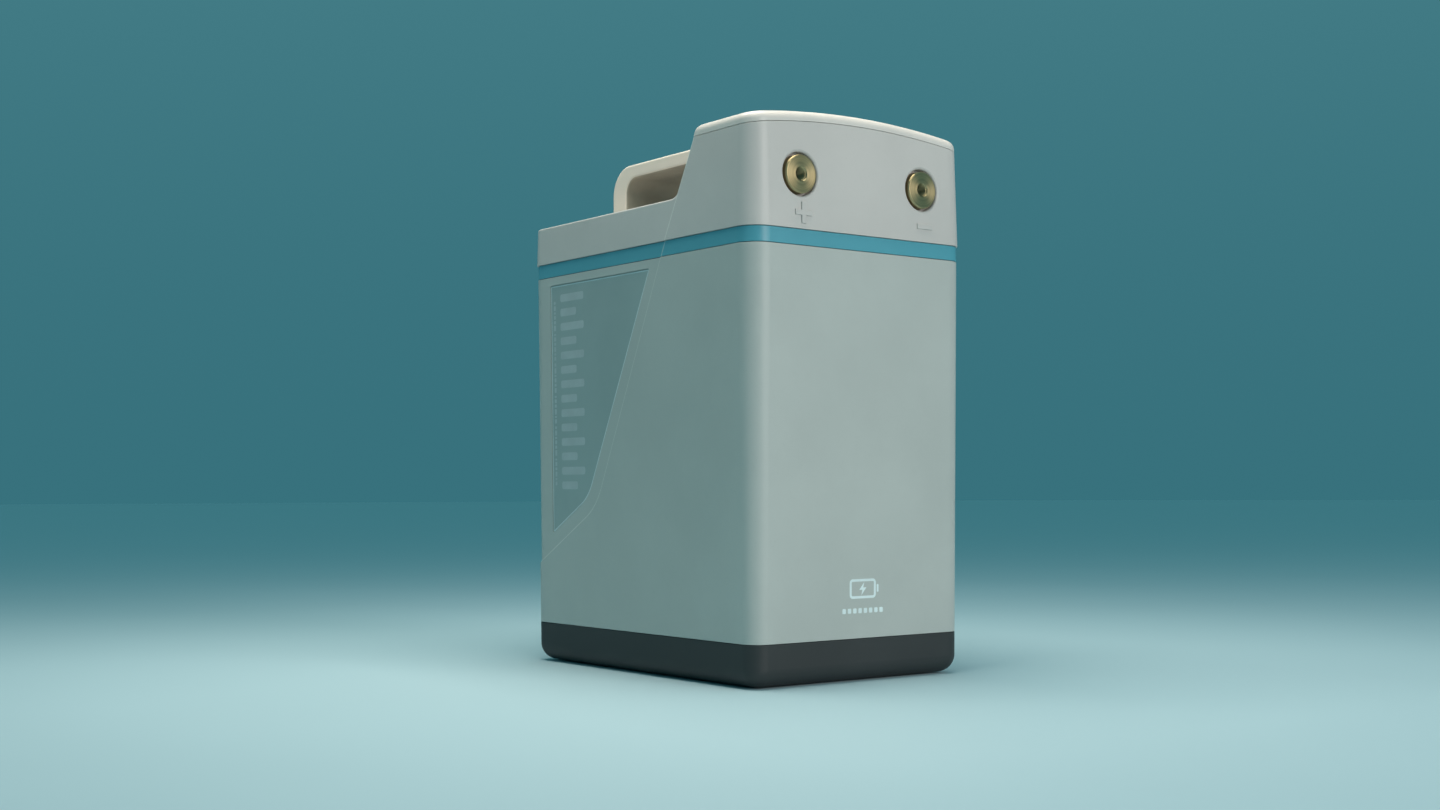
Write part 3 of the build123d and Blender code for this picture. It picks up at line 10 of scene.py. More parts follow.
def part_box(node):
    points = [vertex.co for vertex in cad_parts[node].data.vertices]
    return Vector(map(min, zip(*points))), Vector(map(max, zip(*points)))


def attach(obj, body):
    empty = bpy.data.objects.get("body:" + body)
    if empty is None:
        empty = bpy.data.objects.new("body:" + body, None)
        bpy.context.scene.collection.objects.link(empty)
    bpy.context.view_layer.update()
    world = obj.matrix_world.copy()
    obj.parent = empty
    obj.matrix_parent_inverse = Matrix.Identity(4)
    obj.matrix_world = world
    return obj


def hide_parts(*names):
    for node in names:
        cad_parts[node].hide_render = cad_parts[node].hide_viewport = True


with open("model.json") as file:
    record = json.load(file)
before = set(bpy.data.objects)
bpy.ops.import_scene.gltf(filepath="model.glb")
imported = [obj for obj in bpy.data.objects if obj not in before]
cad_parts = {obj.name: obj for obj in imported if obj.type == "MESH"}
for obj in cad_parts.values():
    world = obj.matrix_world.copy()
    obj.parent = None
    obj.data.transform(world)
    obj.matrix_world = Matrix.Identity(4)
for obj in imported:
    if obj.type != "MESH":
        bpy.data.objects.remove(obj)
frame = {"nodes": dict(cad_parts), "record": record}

bl_info = {
    "name": "Battery Pack Finish",
    "version": (1, 0, 0),
    "blender": (4, 5, 0),
    "location": "3D View > Sidebar > Battery Pack",
    "description": "Turns the terminals, prints the labels and finishes a portable battery pack",
    "category": "Object",
}

MM = 0.001
FULL_TURN = 2 * math.pi
WELD = 1e-6
SIDES = {"left": -1, "right": 1}
CELLS = [f"cell_{number}" for number in range(1, 9)]

# The slanted seam on the sides of the pack: its knee, its two slopes, the round at the knee, its
# rounded edge, and how far out from the middle it starts
SEAM_KNEE = Vector((0.0, 43.8, 105.0)) * MM
SEAM_SLOPE, SEAM_LOW_SLOPE = 0.494, 0.535
SEAM_ROUND = 44.0 * MM
SEAM_EDGE = 0.8 * MM
SEAM_INNER_X = 83.5 * MM


def mount_place(name):
    """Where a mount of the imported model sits."""
    return next(Vector(m["pos_m"]) for m in frame["record"]["mounts"] if m["name"] == name)


# ---- settings -----------------------------------------------------------------------------------


def length(name, description, millimetres):
    """A size that a user may change."""
    return FloatProperty(
        name=name,
        description=description,
        default=millimetres * MM,
        min=0.0,
        precision=5,
        unit="LENGTH",
        subtype="DISTANCE",
    )


def colour(name, description, red, green, blue):
    """A colour that a user may change."""
    return FloatVectorProperty(
        name=name,
        description=description,
        default=(red, green, blue),
        min=0.0,
        max=1.0,
        size=3,
        subtype="COLOR",
    )


class TerminalSizes(bpy.types.PropertyGroup):
    """Sizes of the two turned terminals."""

    mouth_radius: length("Mouth radius", "Radius of the bore's chamfer at the face", 4.5)
    root_radius: length("Thread root radius", "Radius at the bottom of the thread", 4.0)
    crest_radius: length("Thread crest radius", "Radius at the top of the thread", 3.4)
    pitch: length("Thread pitch", "Advance of the thread in one turn", 1.25)
    thread_depth: length("Thread depth", "How far the thread runs in from the face", 15.0)
    rim_chamfer: length("Rim chamfer", "Chamfer round the face", 0.7)
    edge_break: length("Edge break", "Rounding of the turned edges", 0.12)
    shank_radius: length("Shank radius", "Radius of the shank behind the head", 6.9)
    shank_pitch: length("Shank thread pitch", "Pitch of the nut's thread on the shank", 1.5)
    head_depth: length("Head depth", "From the face back to the well floor", 6.4)
    steps: IntProperty(name="Steps", description="Steps in one turn", default=120, min=24, max=360)


class PrintSizes(bpy.types.PropertyGroup):
    """Sizes of what is printed on the pack."""

    ink: length("Ink height", "How far the print stands off its surface", 0.05)
    keyline_margin: length("Keyline margin", "From the label's edge to the keyline", 0.25)
    keyline_width: length("Keyline width", "Width of the line round the label", 0.75)
    gauge_front: length("Gauge front", "Front end of the long gauge bars", 58.0)
    gauge_rear: length("Gauge rear", "Rear end of the gauge bars", 87.0)
    gauge_bottom: length("Gauge bottom", "Height of the lowest bar", 119.0)
    gauge_top: length("Gauge top", "Height of the highest bar", 245.0)
    bar_height: length("Bar height", "Height of one gauge bar", 5.2)
    bar_count: IntProperty(name="Bars", description="Bars in the gauge", default=14, min=2, max=40)
    tick_line: length("Tick line", "Where the fine ticks run, from the middle of the pack", 94.2)
    symbol_height: length("Symbol height", "Height of the front symbol's middle", 56.0)
    symbol_width: length("Symbol width", "Width of the front symbol", 21.0)


class PackColours(bpy.types.PropertyGroup):
    """Colours of the visible mouldings and metals."""

    case: colour("Case", "Warm white of the case", 0.50, 0.51, 0.48)
    # The lid, cap and handle are set lighter than the case in steps up the pack: partly their own
    # paler tone, partly painted light from above
    lid: colour("Lid", "Warm white of the lid", 0.60, 0.55, 0.52)
    cap: colour("Cap", "Paler white of the cap", 0.72, 0.65, 0.60)
    handle: colour("Handle", "Cream of the handle", 0.82, 0.71, 0.61)
    # Painted shade: the darker tone laid on the faces inside the handle's opening, where shade falls
    painted_shade: colour("Painted Shade", "Soft lining inside the handle's opening", 0.31, 0.285, 0.23)
    label: colour("Label", "Printed film on the sides", 0.34, 0.41, 0.40)
    ink: colour("Ink", "Pale print", 0.66, 0.72, 0.72)
    band: colour("Band", "Teal trim band", 0.095, 0.355, 0.435)
    base: colour("Base", "Charcoal base", 0.028, 0.031, 0.032)
    brass: colour("Brass", "Turned brass", 0.41, 0.33, 0.18)
    film: colour("Cell film", "Blue wrap of the cells", 0.02, 0.10, 0.36)


class StudioSettings(bpy.types.PropertyGroup):
    """The camera and the lights."""

    lens: FloatProperty(name="Lens", description="Focal length", default=43.58, unit="CAMERA")
    overhead: FloatProperty(
        name="Overhead", description="Power of the overhead panel", default=5.2, unit="POWER"
    )
    key: FloatProperty(
        name="Key", description="Power of the front panel", default=16.2, unit="POWER"
    )
    rim: FloatProperty(
        name="Rim", description="Power of the panel behind on the left", default=0.2, unit="POWER"
    )
    air: FloatProperty(
        name="Room light", description="Strength of the room's even light", default=0.41
    )
    floor: colour("Floor", "Pale floor", 0.53, 0.70, 0.75)
    sky: colour("Room", "Tint of the room's light", 0.21, 0.64, 0.72)


class PackSettings(bpy.types.PropertyGroup):
    """Everything that a user may change."""

    terminal: PointerProperty(type=TerminalSizes)
    prints: PointerProperty(type=PrintSizes)
    colours: PointerProperty(type=PackColours)
    studio: PointerProperty(type=StudioSettings)


# ---- shared node helpers ------------------------------------------------------------------------


def add_node(tree, kind, inputs=None, **settings):
    """Adds a node, sets its choices, and links or fills its inputs."""
    node = tree.nodes.new(kind)
    for name, value in settings.items():
        setattr(node, name, value)
    for name, value in (inputs or {}).items():
        if isinstance(value, bpy.types.NodeSocket):
            tree.links.new(value, node.inputs[name])
        else:
            node.inputs[name].default_value = value
    return node


def calc(tree, operation, first, second=0.0, third=0.0, clamp=False):
    """One step of arithmetic."""
    node = add_node(
        tree,
        "ShaderNodeMath",
        {0: first, 1: second, 2: third},
        operation=operation,
        use_clamp=clamp,
    )
    return node.outputs[0]


def fade(tree, value, low, high, to_low=0.0, to_high=1.0):
    """A smooth step from one level to another."""
    node = add_node(
        tree,
        "ShaderNodeMapRange",
        {0: value, 1: low, 2: high, 3: to_low, 4: to_high},
        interpolation_type="SMOOTHSTEP",
    )
    return node.outputs[0]


def tint(tree, factor, under, over, how="MIX"):
    """Mixes two colours."""
    node = add_node(
        tree, "ShaderNodeMix", {
            0: factor, 6: opaque(under), 7: opaque(over)
        }, data_type="RGBA", blend_type=how
    )
    return node.outputs[2]


def opaque(value):
    """A plain colour as a socket wants it. A socket passes through."""
    if isinstance(value, bpy.types.NodeSocket):
        return value
    return (value[0], value[1], value[2], 1.0)


def shade(value, amount):
    """A plain colour made lighter or darker."""
    return tuple(min(1.0, part * amount) for part in value)


def new_group(name, inputs, outputs):
    """A shader node group with named sockets, and its input and output nodes."""
    group = bpy.data.node_groups.new(name, "ShaderNodeTree")
    for label, kind, default in inputs:
        socket = group.interface.new_socket(name=label, in_out="INPUT", socket_type=kind)
        if default is not None:
            socket.default_value = default
    for label, kind in outputs:
        group.interface.new_socket(name=label, in_out="OUTPUT", socket_type=kind)
    given = group.nodes.new("NodeGroupInput").outputs
    return group, given, group.nodes.new("NodeGroupOutput").inputs


FLOAT, VECTOR = "NodeSocketFloat", "NodeSocketVector"


def moulded_grain():
    """The fine spark texture of a moulding tool, with a broad soft mottle under it."""
    group, given, result = new_group(
        "Moulded Grain",
        [
            ("Vector", VECTOR, None),
            ("Grains per Metre", FLOAT, 1800.0),
            ("Mottles per Metre", FLOAT, 14.0),
        ],
        [("Height", FLOAT), ("Mottle", FLOAT), ("Speck", FLOAT)],
    )
    pits = add_node(
        group,
        "ShaderNodeTexVoronoi",
        {
            "Vector": given["Vector"],
            "Scale": given["Grains per Metre"],
            "Randomness": 1.0,
            "Smoothness": 0.35,
        },
        feature="SMOOTH_F1",
    )
    ripple = add_node(
        group,
        "ShaderNodeTexNoise",
        {
            "Vector": given["Vector"],
            "Scale": calc(group, "MULTIPLY", given["Grains per Metre"], 0.45),
            "Detail": 3.0,
        },
    )
    mottle = add_node(
        group,
        "ShaderNodeTexNoise",
        {
            "Vector": given["Vector"],
            "Scale": given["Mottles per Metre"],
            "Detail": 4.0,
            "Roughness": 0.6,
        },
    )
    mix = calc(
        group,
        "MULTIPLY_ADD",
        pits.outputs["Distance"],
        0.6,
        calc(group, "MULTIPLY", ripple.outputs["Fac"], 0.4),
    )
    group.links.new(mix, result["Height"])
    group.links.new(fade(group, mottle.outputs["Fac"], 0.3, 0.7), result["Mottle"])
    group.links.new(fade(group, ripple.outputs["Fac"], 0.58, 0.72), result["Speck"])
    return group


def worn_edge():
    """A softened normal along the edges, and a mask that is strongest where the edges turn."""
    group, given, result = new_group(
        "Worn Edge",
        [("Vector", VECTOR, None), ("Radius", FLOAT, 0.0005), ("Breakup per Metre", FLOAT, 220.0)],
        [("Mask", FLOAT), ("Normal", VECTOR)],
    )
    soft = add_node(group, "ShaderNodeBevel", {"Radius": given["Radius"]}, samples=6)
    true = add_node(group, "ShaderNodeNewGeometry")
    turn = add_node(
        group, "ShaderNodeVectorMath", {
            0: soft.outputs["Normal"], 1: true.outputs["Normal"]
        }, operation="DOT_PRODUCT"
    )
    breakup = add_node(
        group, "ShaderNodeTexNoise", {
            "Vector": given["Vector"], "Scale": given["Breakup per Metre"], "Detail": 5.0
        }
    )
    edge = fade(group, turn.outputs["Value"], 0.995, 0.8)
    mask = calc(
        group, "MULTIPLY", edge, fade(group, breakup.outputs["Fac"], 0.35, 0.65), clamp=True
    )
    group.links.new(mask, result["Mask"])
    group.links.new(soft.outputs["Normal"], result["Normal"])
    return group


def settled_dust():
    """Fine dust on what faces up, in soft patches."""
    group, given, result = new_group(
        "Settled Dust", [("Vector", VECTOR, None), ("Amount", FLOAT, 0.3)], [("Mask", FLOAT)]
    )
    facing = add_node(
        group,
        "ShaderNodeSeparateXYZ",
        {0: add_node(group, "ShaderNodeNewGeometry").outputs["Normal"]},
    )
    patch = add_node(
        group, "ShaderNodeTexNoise", {"Vector": given["Vector"], "Scale": 60.0, "Detail": 8.0}
    )
    mote = add_node(
        group, "ShaderNodeTexNoise", {"Vector": given["Vector"], "Scale": 2600.0, "Detail": 1.0}
    )
    level = calc(
        group,
        "MULTIPLY",
        fade(group, facing.outputs["Z"], 0.35, 0.95),
        fade(group, patch.outputs["Fac"], 0.4, 0.7),
    )
    level = calc(group, "MULTIPLY", level, fade(group, mote.outputs["Fac"], 0.45, 0.75, 0.4, 1.0))
    group.links.new(calc(group, "MULTIPLY", level, given["Amount"], clamp=True), result["Mask"])
    return group


def drawn_metal():
    """Fine lines left by rolling, drawing or brushing, along the stretched axis of the vector."""
    group, given, result = new_group(
        "Drawn Metal",
        [
            ("Vector", VECTOR, None),
            ("Lines per Metre", FLOAT, 2500.0),
            ("Stretch", VECTOR, (0.02, 1.0, 1.0)),
        ],
        [("Height", FLOAT), ("Streak", FLOAT), ("Tarnish", FLOAT)],
    )
    along = add_node(
        group, "ShaderNodeVectorMath", {
            0: given["Vector"], 1: given["Stretch"]
        }, operation="MULTIPLY"
    ).outputs["Vector"]
    line = add_node(
        group, "ShaderNodeTexNoise", {
            "Vector": along, "Scale": given["Lines per Metre"], "Detail": 4.0, "Roughness": 0.7
        }
    )
    broad = add_node(
        group,
        "ShaderNodeTexNoise",
        {
            "Vector": along,
            "Scale": calc(group, "MULTIPLY", given["Lines per Metre"], 0.12),
            "Detail": 3.0,
        },
    )
    stain = add_node(
        group, "ShaderNodeTexNoise", {"Vector": given["Vector"], "Scale": 90.0, "Detail": 6.0}
    )
    group.links.new(line.outputs["Fac"], result["Height"])
    group.links.new(fade(group, broad.outputs["Fac"], 0.3, 0.7), result["Streak"])
    group.links.new(fade(group, stain.outputs["Fac"], 0.45, 0.75), result["Tarnish"])
    return group


def turned_rings():
    """Rings left by a lathe tool, read along a map whose second part runs across the rings."""
    group, given, result = new_group(
        "Turned Rings",
        [("Vector", VECTOR, None), ("Rings per Metre", FLOAT, 9000.0)],
        [("Height", FLOAT), ("Band", FLOAT)],
    )
    across = add_node(group, "ShaderNodeSeparateXYZ", {0: given["Vector"]}).outputs["Y"]
    fine = add_node(
        group,
        "ShaderNodeTexNoise",
        {"W": across, "Scale": given["Rings per Metre"], "Detail": 2.0},
        noise_dimensions="1D",
    )
    band = add_node(
        group,
        "ShaderNodeTexNoise",
        {
            "W": across,
            "Scale": calc(group, "MULTIPLY", given["Rings per Metre"], 0.12),
            "Detail": 2.0,
        },
        noise_dimensions="1D",
    )
    group.links.new(fine.outputs["Fac"], result["Height"])
    group.links.new(fade(group, band.outputs["Fac"], 0.3, 0.7), result["Band"])
    return group


def seam_line():
    """The rounded edge of the slanted seam: its upper run, the round at its knee, its lower run."""
    group, given, result = new_group(
        "Seam Line", [("Vector", VECTOR, None), ("Half Width", FLOAT, 0.0006)], [("Mask", FLOAT)]
    )
    down, back = Vector((0.0, SEAM_SLOPE, -1.0)).normalized(), Vector(
        (0.0, 1.0, -SEAM_LOW_SLOPE)
    ).normalized()
    out_upper, out_lower = Vector((0.0, -down.z, down.y)), Vector((0.0, -back.z, back.y))
    spread = out_upper.dot(out_lower)
    centre = SEAM_KNEE + (out_upper + out_lower) * (SEAM_ROUND / (1 + spread))
    spot = add_node(group, "ShaderNodeSeparateXYZ", {0: given["Vector"]}).outputs
    flat = add_node(group, "ShaderNodeCombineXYZ", {1: spot["Y"], 2: spot["Z"]}).outputs["Vector"]
    away = add_node(
        group, "ShaderNodeVectorMath", {0: flat, 1: centre}, operation="SUBTRACT"
    ).outputs["Vector"]

    def along(way):
        return add_node(
            group, "ShaderNodeVectorMath", {0: away, 1: way}, operation="DOT_PRODUCT"
        ).outputs["Value"]

    reach = add_node(group, "ShaderNodeVectorMath", {0: away}, operation="LENGTH").outputs["Value"]
    upper = calc(group, "LESS_THAN", along(down), 0.0)
    lower = calc(
        group,
        "MULTIPLY",
        calc(group, "GREATER_THAN", along(back), 0.0),
        calc(group, "SUBTRACT", 1.0, upper),
    )
    knee = calc(group, "SUBTRACT", calc(group, "SUBTRACT", 1.0, upper), lower)
    off = calc(group, "MULTIPLY", upper, calc(group, "ADD", along(out_upper), SEAM_ROUND))
    off = calc(group, "MULTIPLY_ADD", lower, calc(group, "ADD", along(out_lower), SEAM_ROUND), off)
    off = calc(group, "MULTIPLY_ADD", knee, calc(group, "SUBTRACT", SEAM_ROUND, reach), off)
    off = calc(group, "ABSOLUTE", calc(group, "ADD", off, SEAM_EDGE / 2))
    mask = calc(group, "LESS_THAN", off, given["Half Width"])
    outside = calc(group, "GREATER_THAN", calc(group, "ABSOLUTE", spot["X"]), SEAM_INNER_X)
    group.links.new(calc(group, "MULTIPLY", mask, outside), result["Mask"])
    return group


EFFECTS = {}
EFFECT_MAKERS = {
    "seam": seam_line,
    "grain": moulded_grain,
    "edge": worn_edge,
    "dust": settled_dust,
    "drawn": drawn_metal,
    "rings": turned_rings,
}


def effect(tree, name, inputs):
    """Places a shared effect, which is built the first time it is asked for."""
    if name not in EFFECTS:
        EFFECTS[name] = EFFECT_MAKERS[name]()
    return add_node(tree, "ShaderNodeGroup", inputs, node_tree=EFFECTS[name]).outputs


def start_material(name, **constants):
    """A new material with a Principled shader whose plain values are set on its own sockets."""
    material = bpy.data.materials.new(name)
    material.use_nodes = True
    tree = material.node_tree
    tree.nodes.clear()
    shader = add_node(tree, "ShaderNodeBsdfPrincipled", constants)
    output = add_node(tree, "ShaderNodeOutputMaterial", {"Surface": shader.outputs["BSDF"]})
    output.is_active_output = True
    place = add_node(tree, "ShaderNodeTexCoord").outputs["Object"]
    return material, tree, shader, place


def raise_surface(tree, shader, height, depth, normal=None):
    """Bump from a height in metres, over the softened normal where there is one."""
    inputs = {"Height": height, "Strength": 1.0, "Distance": depth}
    if normal is not None:
        inputs["Normal"] = normal
    bump = add_node(tree, "ShaderNodeBump", inputs)
    tree.links.new(bump.outputs["Normal"], shader.inputs["Normal"])


# ---- finishes -----------------------------------------------------------------------------------

DUST_TONE = (0.52, 0.50, 0.46)
# Pale tone painted along the seam's rounded edge: a painted highlight
SEAM_HIGHLIGHT_TONE = (0.86, 0.83, 0.76)
GRAIN_DEPTH = 0.000012

# Where the painted shade inside the handle's opening stops, at the rear, at the top and on faces that
# turn sideways. Each pair runs from no painted shade to full painted shade.
SHADE_REAR = (0.0925, 0.0915)
SHADE_TOP = (0.3335, 0.3325)
SHADE_SIDEWAYS = (0.75, 0.6)


def moulded_plastic(
    name,
    base,
    rough,
    grains=1700.0,
    depth=GRAIN_DEPTH,
    edge=0.0005,
    wear=0.25,
    dust=0.12,
    mottle=0.03,
    seam=0.0,
):
    """Moulded plastic with tool grain, slight mottle, polished edges and a little dust, and a painted
    highlight along the slanted seam where seam is set.
    """
    material, tree, shader, place = start_material(name, **{"IOR": 1.48})
    grain = effect(tree, "grain", {"Vector": place, "Grains per Metre": grains})
    edges = effect(tree, "edge", {"Vector": place, "Radius": edge})
    settled = effect(tree, "dust", {"Vector": place, "Amount": dust})
    toned = tint(tree, grain["Mottle"], shade(base, 1 - mottle), shade(base, 1 + mottle))
    toned = tint(tree, calc(tree, "MULTIPLY", grain["Speck"], 0.25), toned, shade(base, 0.9))
    toned = tint(tree, calc(tree, "MULTIPLY", edges["Mask"], wear), toned, shade(base, 1.25))
    toned = tint(tree, settled["Mask"], toned, DUST_TONE)
    # Painted highlight: a pale line along the rounded edge of the slanted seam
    if seam:
        seam_edge_mask = effect(tree, "seam", {"Vector": place})["Mask"]
        toned = tint(tree, calc(tree, "MULTIPLY", seam_edge_mask, seam), toned, SEAM_HIGHLIGHT_TONE)
    tree.links.new(toned, shader.inputs["Base Color"])
    level = calc(tree, "MULTIPLY_ADD", grain["Mottle"], 0.06, rough - 0.03)
    level = calc(tree, "MULTIPLY_ADD", edges["Mask"], -0.08, level)
    level = calc(tree, "MULTIPLY_ADD", settled["Mask"], 0.3, level, clamp=True)
    tree.links.new(level, shader.inputs["Roughness"])
    raise_surface(tree, shader, grain["Height"], depth, edges["Normal"])
    return material


def handle_with_painted_shade(name, base, painted_shade):
    """Pale handle plastic, with painted shade: a darker tone on the faces of the opening for the
    fingers.
    """
    material, tree, shader, place = start_material(name, **{"IOR": 1.48})
    grain = effect(tree, "grain", {"Vector": place, "Grains per Metre": 1500.0})
    edges = effect(tree, "edge", {"Vector": place, "Radius": 0.0008})
    settled = effect(tree, "dust", {"Vector": place, "Amount": 0.12})
    spot = add_node(tree, "ShaderNodeSeparateXYZ", {0: place}).outputs
    normal = add_node(tree, "ShaderNodeNewGeometry").outputs["Normal"]
    facing = add_node(tree, "ShaderNodeSeparateXYZ", {0: normal}).outputs
    sideways = calc(tree, "ABSOLUTE", facing["X"])
    # mask for the painted shade on the faces inside the opening, where shade falls
    inside = calc(
        tree, "MULTIPLY", fade(tree, spot["Y"], *SHADE_REAR), fade(tree, spot["Z"], *SHADE_TOP)
    )
    inside = calc(tree, "MULTIPLY", inside, fade(tree, sideways, *SHADE_SIDEWAYS))
    toned = tint(tree, grain["Mottle"], shade(base, 0.97), shade(base, 1.03))
    toned = tint(tree, calc(tree, "MULTIPLY", edges["Mask"], 0.25), toned, shade(base, 1.15))
    toned = tint(tree, settled["Mask"], toned, DUST_TONE)
    # the painted shade's tone, mottled with the grain
    soft = tint(tree, grain["Mottle"], shade(painted_shade, 0.8), shade(painted_shade, 1.2))
    tree.links.new(tint(tree, inside, toned, soft), shader.inputs["Base Color"])
    level = calc(tree, "MULTIPLY_ADD", grain["Mottle"], 0.06, 0.43)
    tree.links.new(calc(tree, "MULTIPLY_ADD", inside, 0.3, level), shader.inputs["Roughness"])
    raise_surface(tree, shader, grain["Height"], GRAIN_DEPTH, edges["Normal"])
    return material


def printed_film(name, base, rough):
    """A printed satin film: an even tone with a very fine screen and soft waves in the laminate."""
    material, tree, shader, place = start_material(name, **{"IOR": 1.5, "Coat Roughness": 0.22})
    grain = effect(
        tree, "grain", {"Vector": place, "Grains per Metre": 2600.0, "Mottles per Metre": 22.0}
    )
    edges = effect(tree, "edge", {"Vector": place, "Radius": 0.0003})
    toned = tint(tree, grain["Mottle"], shade(base, 0.97), shade(base, 1.04))
    toned = tint(tree, calc(tree, "MULTIPLY", edges["Mask"], 0.5), toned, shade(base, 1.6))
    tree.links.new(toned, shader.inputs["Base Color"])
    tree.links.new(
        calc(tree, "MULTIPLY_ADD", grain["Mottle"], 0.05, rough), shader.inputs["Roughness"]
    )
    tree.links.new(
        calc(tree, "MULTIPLY_ADD", grain["Speck"], -0.1, 0.18), shader.inputs["Coat Weight"]
    )
    raise_surface(tree, shader, grain["Height"], 0.000006, edges["Normal"])
    return material


def screen_ink(name, base):
    """Pale screen-printed ink with a faint mesh mark and slightly open edges."""
    material, tree, shader, place = start_material(name, **{"IOR": 1.5})
    grain = effect(
        tree, "grain", {"Vector": place, "Grains per Metre": 3200.0, "Mottles per Metre": 60.0}
    )
    toned = tint(tree, grain["Mottle"], shade(base, 0.94), shade(base, 1.05))
    toned = tint(tree, calc(tree, "MULTIPLY", grain["Speck"], 0.2), toned, shade(base, 0.8))
    tree.links.new(toned, shader.inputs["Base Color"])
    tree.links.new(
        calc(tree, "MULTIPLY_ADD", grain["Mottle"], 0.08, 0.4), shader.inputs["Roughness"]
    )
    raise_surface(tree, shader, grain["Height"], 0.000008)
    return material


def turned_brass(name, base):
    """Brass from the lathe: fine rings, a stretched highlight and a light brown tarnish."""
    material, tree, shader, place = start_material(
        name, **{"Anisotropic": 0.65, "Anisotropic Rotation": 0.25, "Metallic": 1.0}
    )
    turning = add_node(tree, "ShaderNodeUVMap", uv_map="Turning").outputs["UV"]
    rings = effect(tree, "rings", {"Vector": turning, "Rings per Metre": 7000.0})
    stain = effect(
        tree, "drawn", {"Vector": place, "Lines per Metre": 700.0, "Stretch": (1.0, 1.0, 1.0)}
    )
    edges = effect(tree, "edge", {"Vector": place, "Radius": 0.00012})
    toned = tint(tree, rings["Band"], shade(base, 0.9), shade(base, 1.12))
    toned = tint(tree, calc(tree, "MULTIPLY", stain["Tarnish"], 0.35), toned, (0.30, 0.22, 0.11))
    toned = tint(tree, calc(tree, "MULTIPLY", edges["Mask"], 0.5), toned, (0.82, 0.70, 0.42))
    tree.links.new(toned, shader.inputs["Base Color"])
    level = calc(tree, "MULTIPLY_ADD", rings["Band"], 0.06, 0.34)
    level = calc(tree, "MULTIPLY_ADD", stain["Tarnish"], 0.08, level)
    tree.links.new(level, shader.inputs["Roughness"])
    tangent = add_node(tree, "ShaderNodeTangent", direction_type="UV_MAP", uv_map="Turning")
    tree.links.new(tangent.outputs["Tangent"], shader.inputs["Tangent"])
    raise_surface(tree, shader, rings["Height"], 0.000006, edges["Normal"])
    return material


def sheet_metal(
    name,
    base,
    rough,
    lines=2200.0,
    stretch=(1.0, 0.03, 1.0),
    tarnish=(0.3, 0.25, 0.2),
    stained=0.3,
    depth=0.000006,
):
    """Rolled, drawn or plated metal with fine lines one way, soft streaks and a little tarnish."""
    material, tree, shader, place = start_material(name, **{"Metallic": 1.0})
    drawn = effect(tree, "drawn", {"Vector": place, "Lines per Metre": lines, "Stretch": stretch})
    edges = effect(tree, "edge", {"Vector": place, "Radius": 0.0003})
    toned = tint(tree, drawn["Streak"], shade(base, 0.92), shade(base, 1.06))
    toned = tint(tree, calc(tree, "MULTIPLY", drawn["Tarnish"], stained), toned, tarnish)
    toned = tint(tree, calc(tree, "MULTIPLY", edges["Mask"], 0.4), toned, shade(base, 1.3))
    tree.links.new(toned, shader.inputs["Base Color"])
    level = calc(tree, "MULTIPLY_ADD", drawn["Streak"], 0.1, rough)
    level = calc(tree, "MULTIPLY_ADD", drawn["Tarnish"], 0.12, level)
    tree.links.new(level, shader.inputs["Roughness"])
    raise_surface(tree, shader, drawn["Height"], depth, edges["Normal"])
    return material


def moulded_rubber(name, base, rough=0.72):
    """Soft black rubber with a dry bloom in patches and a rough tool finish."""
    material, tree, shader, place = start_material(
        name, **{"IOR": 1.5, "Sheen Weight": 0.25, "Sheen Roughness": 0.5}
    )
    grain = effect(
        tree, "grain", {"Vector": place, "Grains per Metre": 1100.0, "Mottles per Metre": 70.0}
    )
    settled = effect(tree, "dust", {"Vector": place, "Amount": 0.4})
    toned = tint(tree, grain["Mottle"], shade(base, 0.8), shade(base, 1.35))
    toned = tint(tree, settled["Mask"], toned, (0.2, 0.19, 0.18))
    tree.links.new(toned, shader.inputs["Base Color"])
    tree.links.new(
        calc(tree, "MULTIPLY_ADD", grain["Mottle"], 0.12, rough), shader.inputs["Roughness"]
    )
    raise_surface(tree, shader, grain["Height"], 0.00003)
    return material


def closed_foam(name, base):
    """Closed-cell foam: small round pores of two sizes and a dry matte skin."""
    material, tree, shader, place = start_material(name, **{"IOR": 1.3, "Sheen Weight": 0.3})
    pores = add_node(
        tree, "ShaderNodeTexVoronoi", {"Vector": place, "Scale": 900.0}
    ).outputs["Distance"]
    holes = add_node(
        tree, "ShaderNodeTexVoronoi", {"Vector": place, "Scale": 330.0}
    ).outputs["Distance"]
    height = calc(tree, "ADD", fade(tree, pores, 0.0, 0.45), fade(tree, holes, 0.0, 0.25))
    # Painted shade: the pores are painted darker, as shade in their hollows
    toned = tint(tree, fade(tree, height, 0.6, 1.8), shade(base, 0.45), shade(base, 1.2))
    tree.links.new(toned, shader.inputs["Base Color"])
    tree.links.new(fade(tree, height, 0.0, 2.0, 0.95, 0.8), shader.inputs["Roughness"])
    raise_surface(tree, shader, height, 0.00008)
    return material


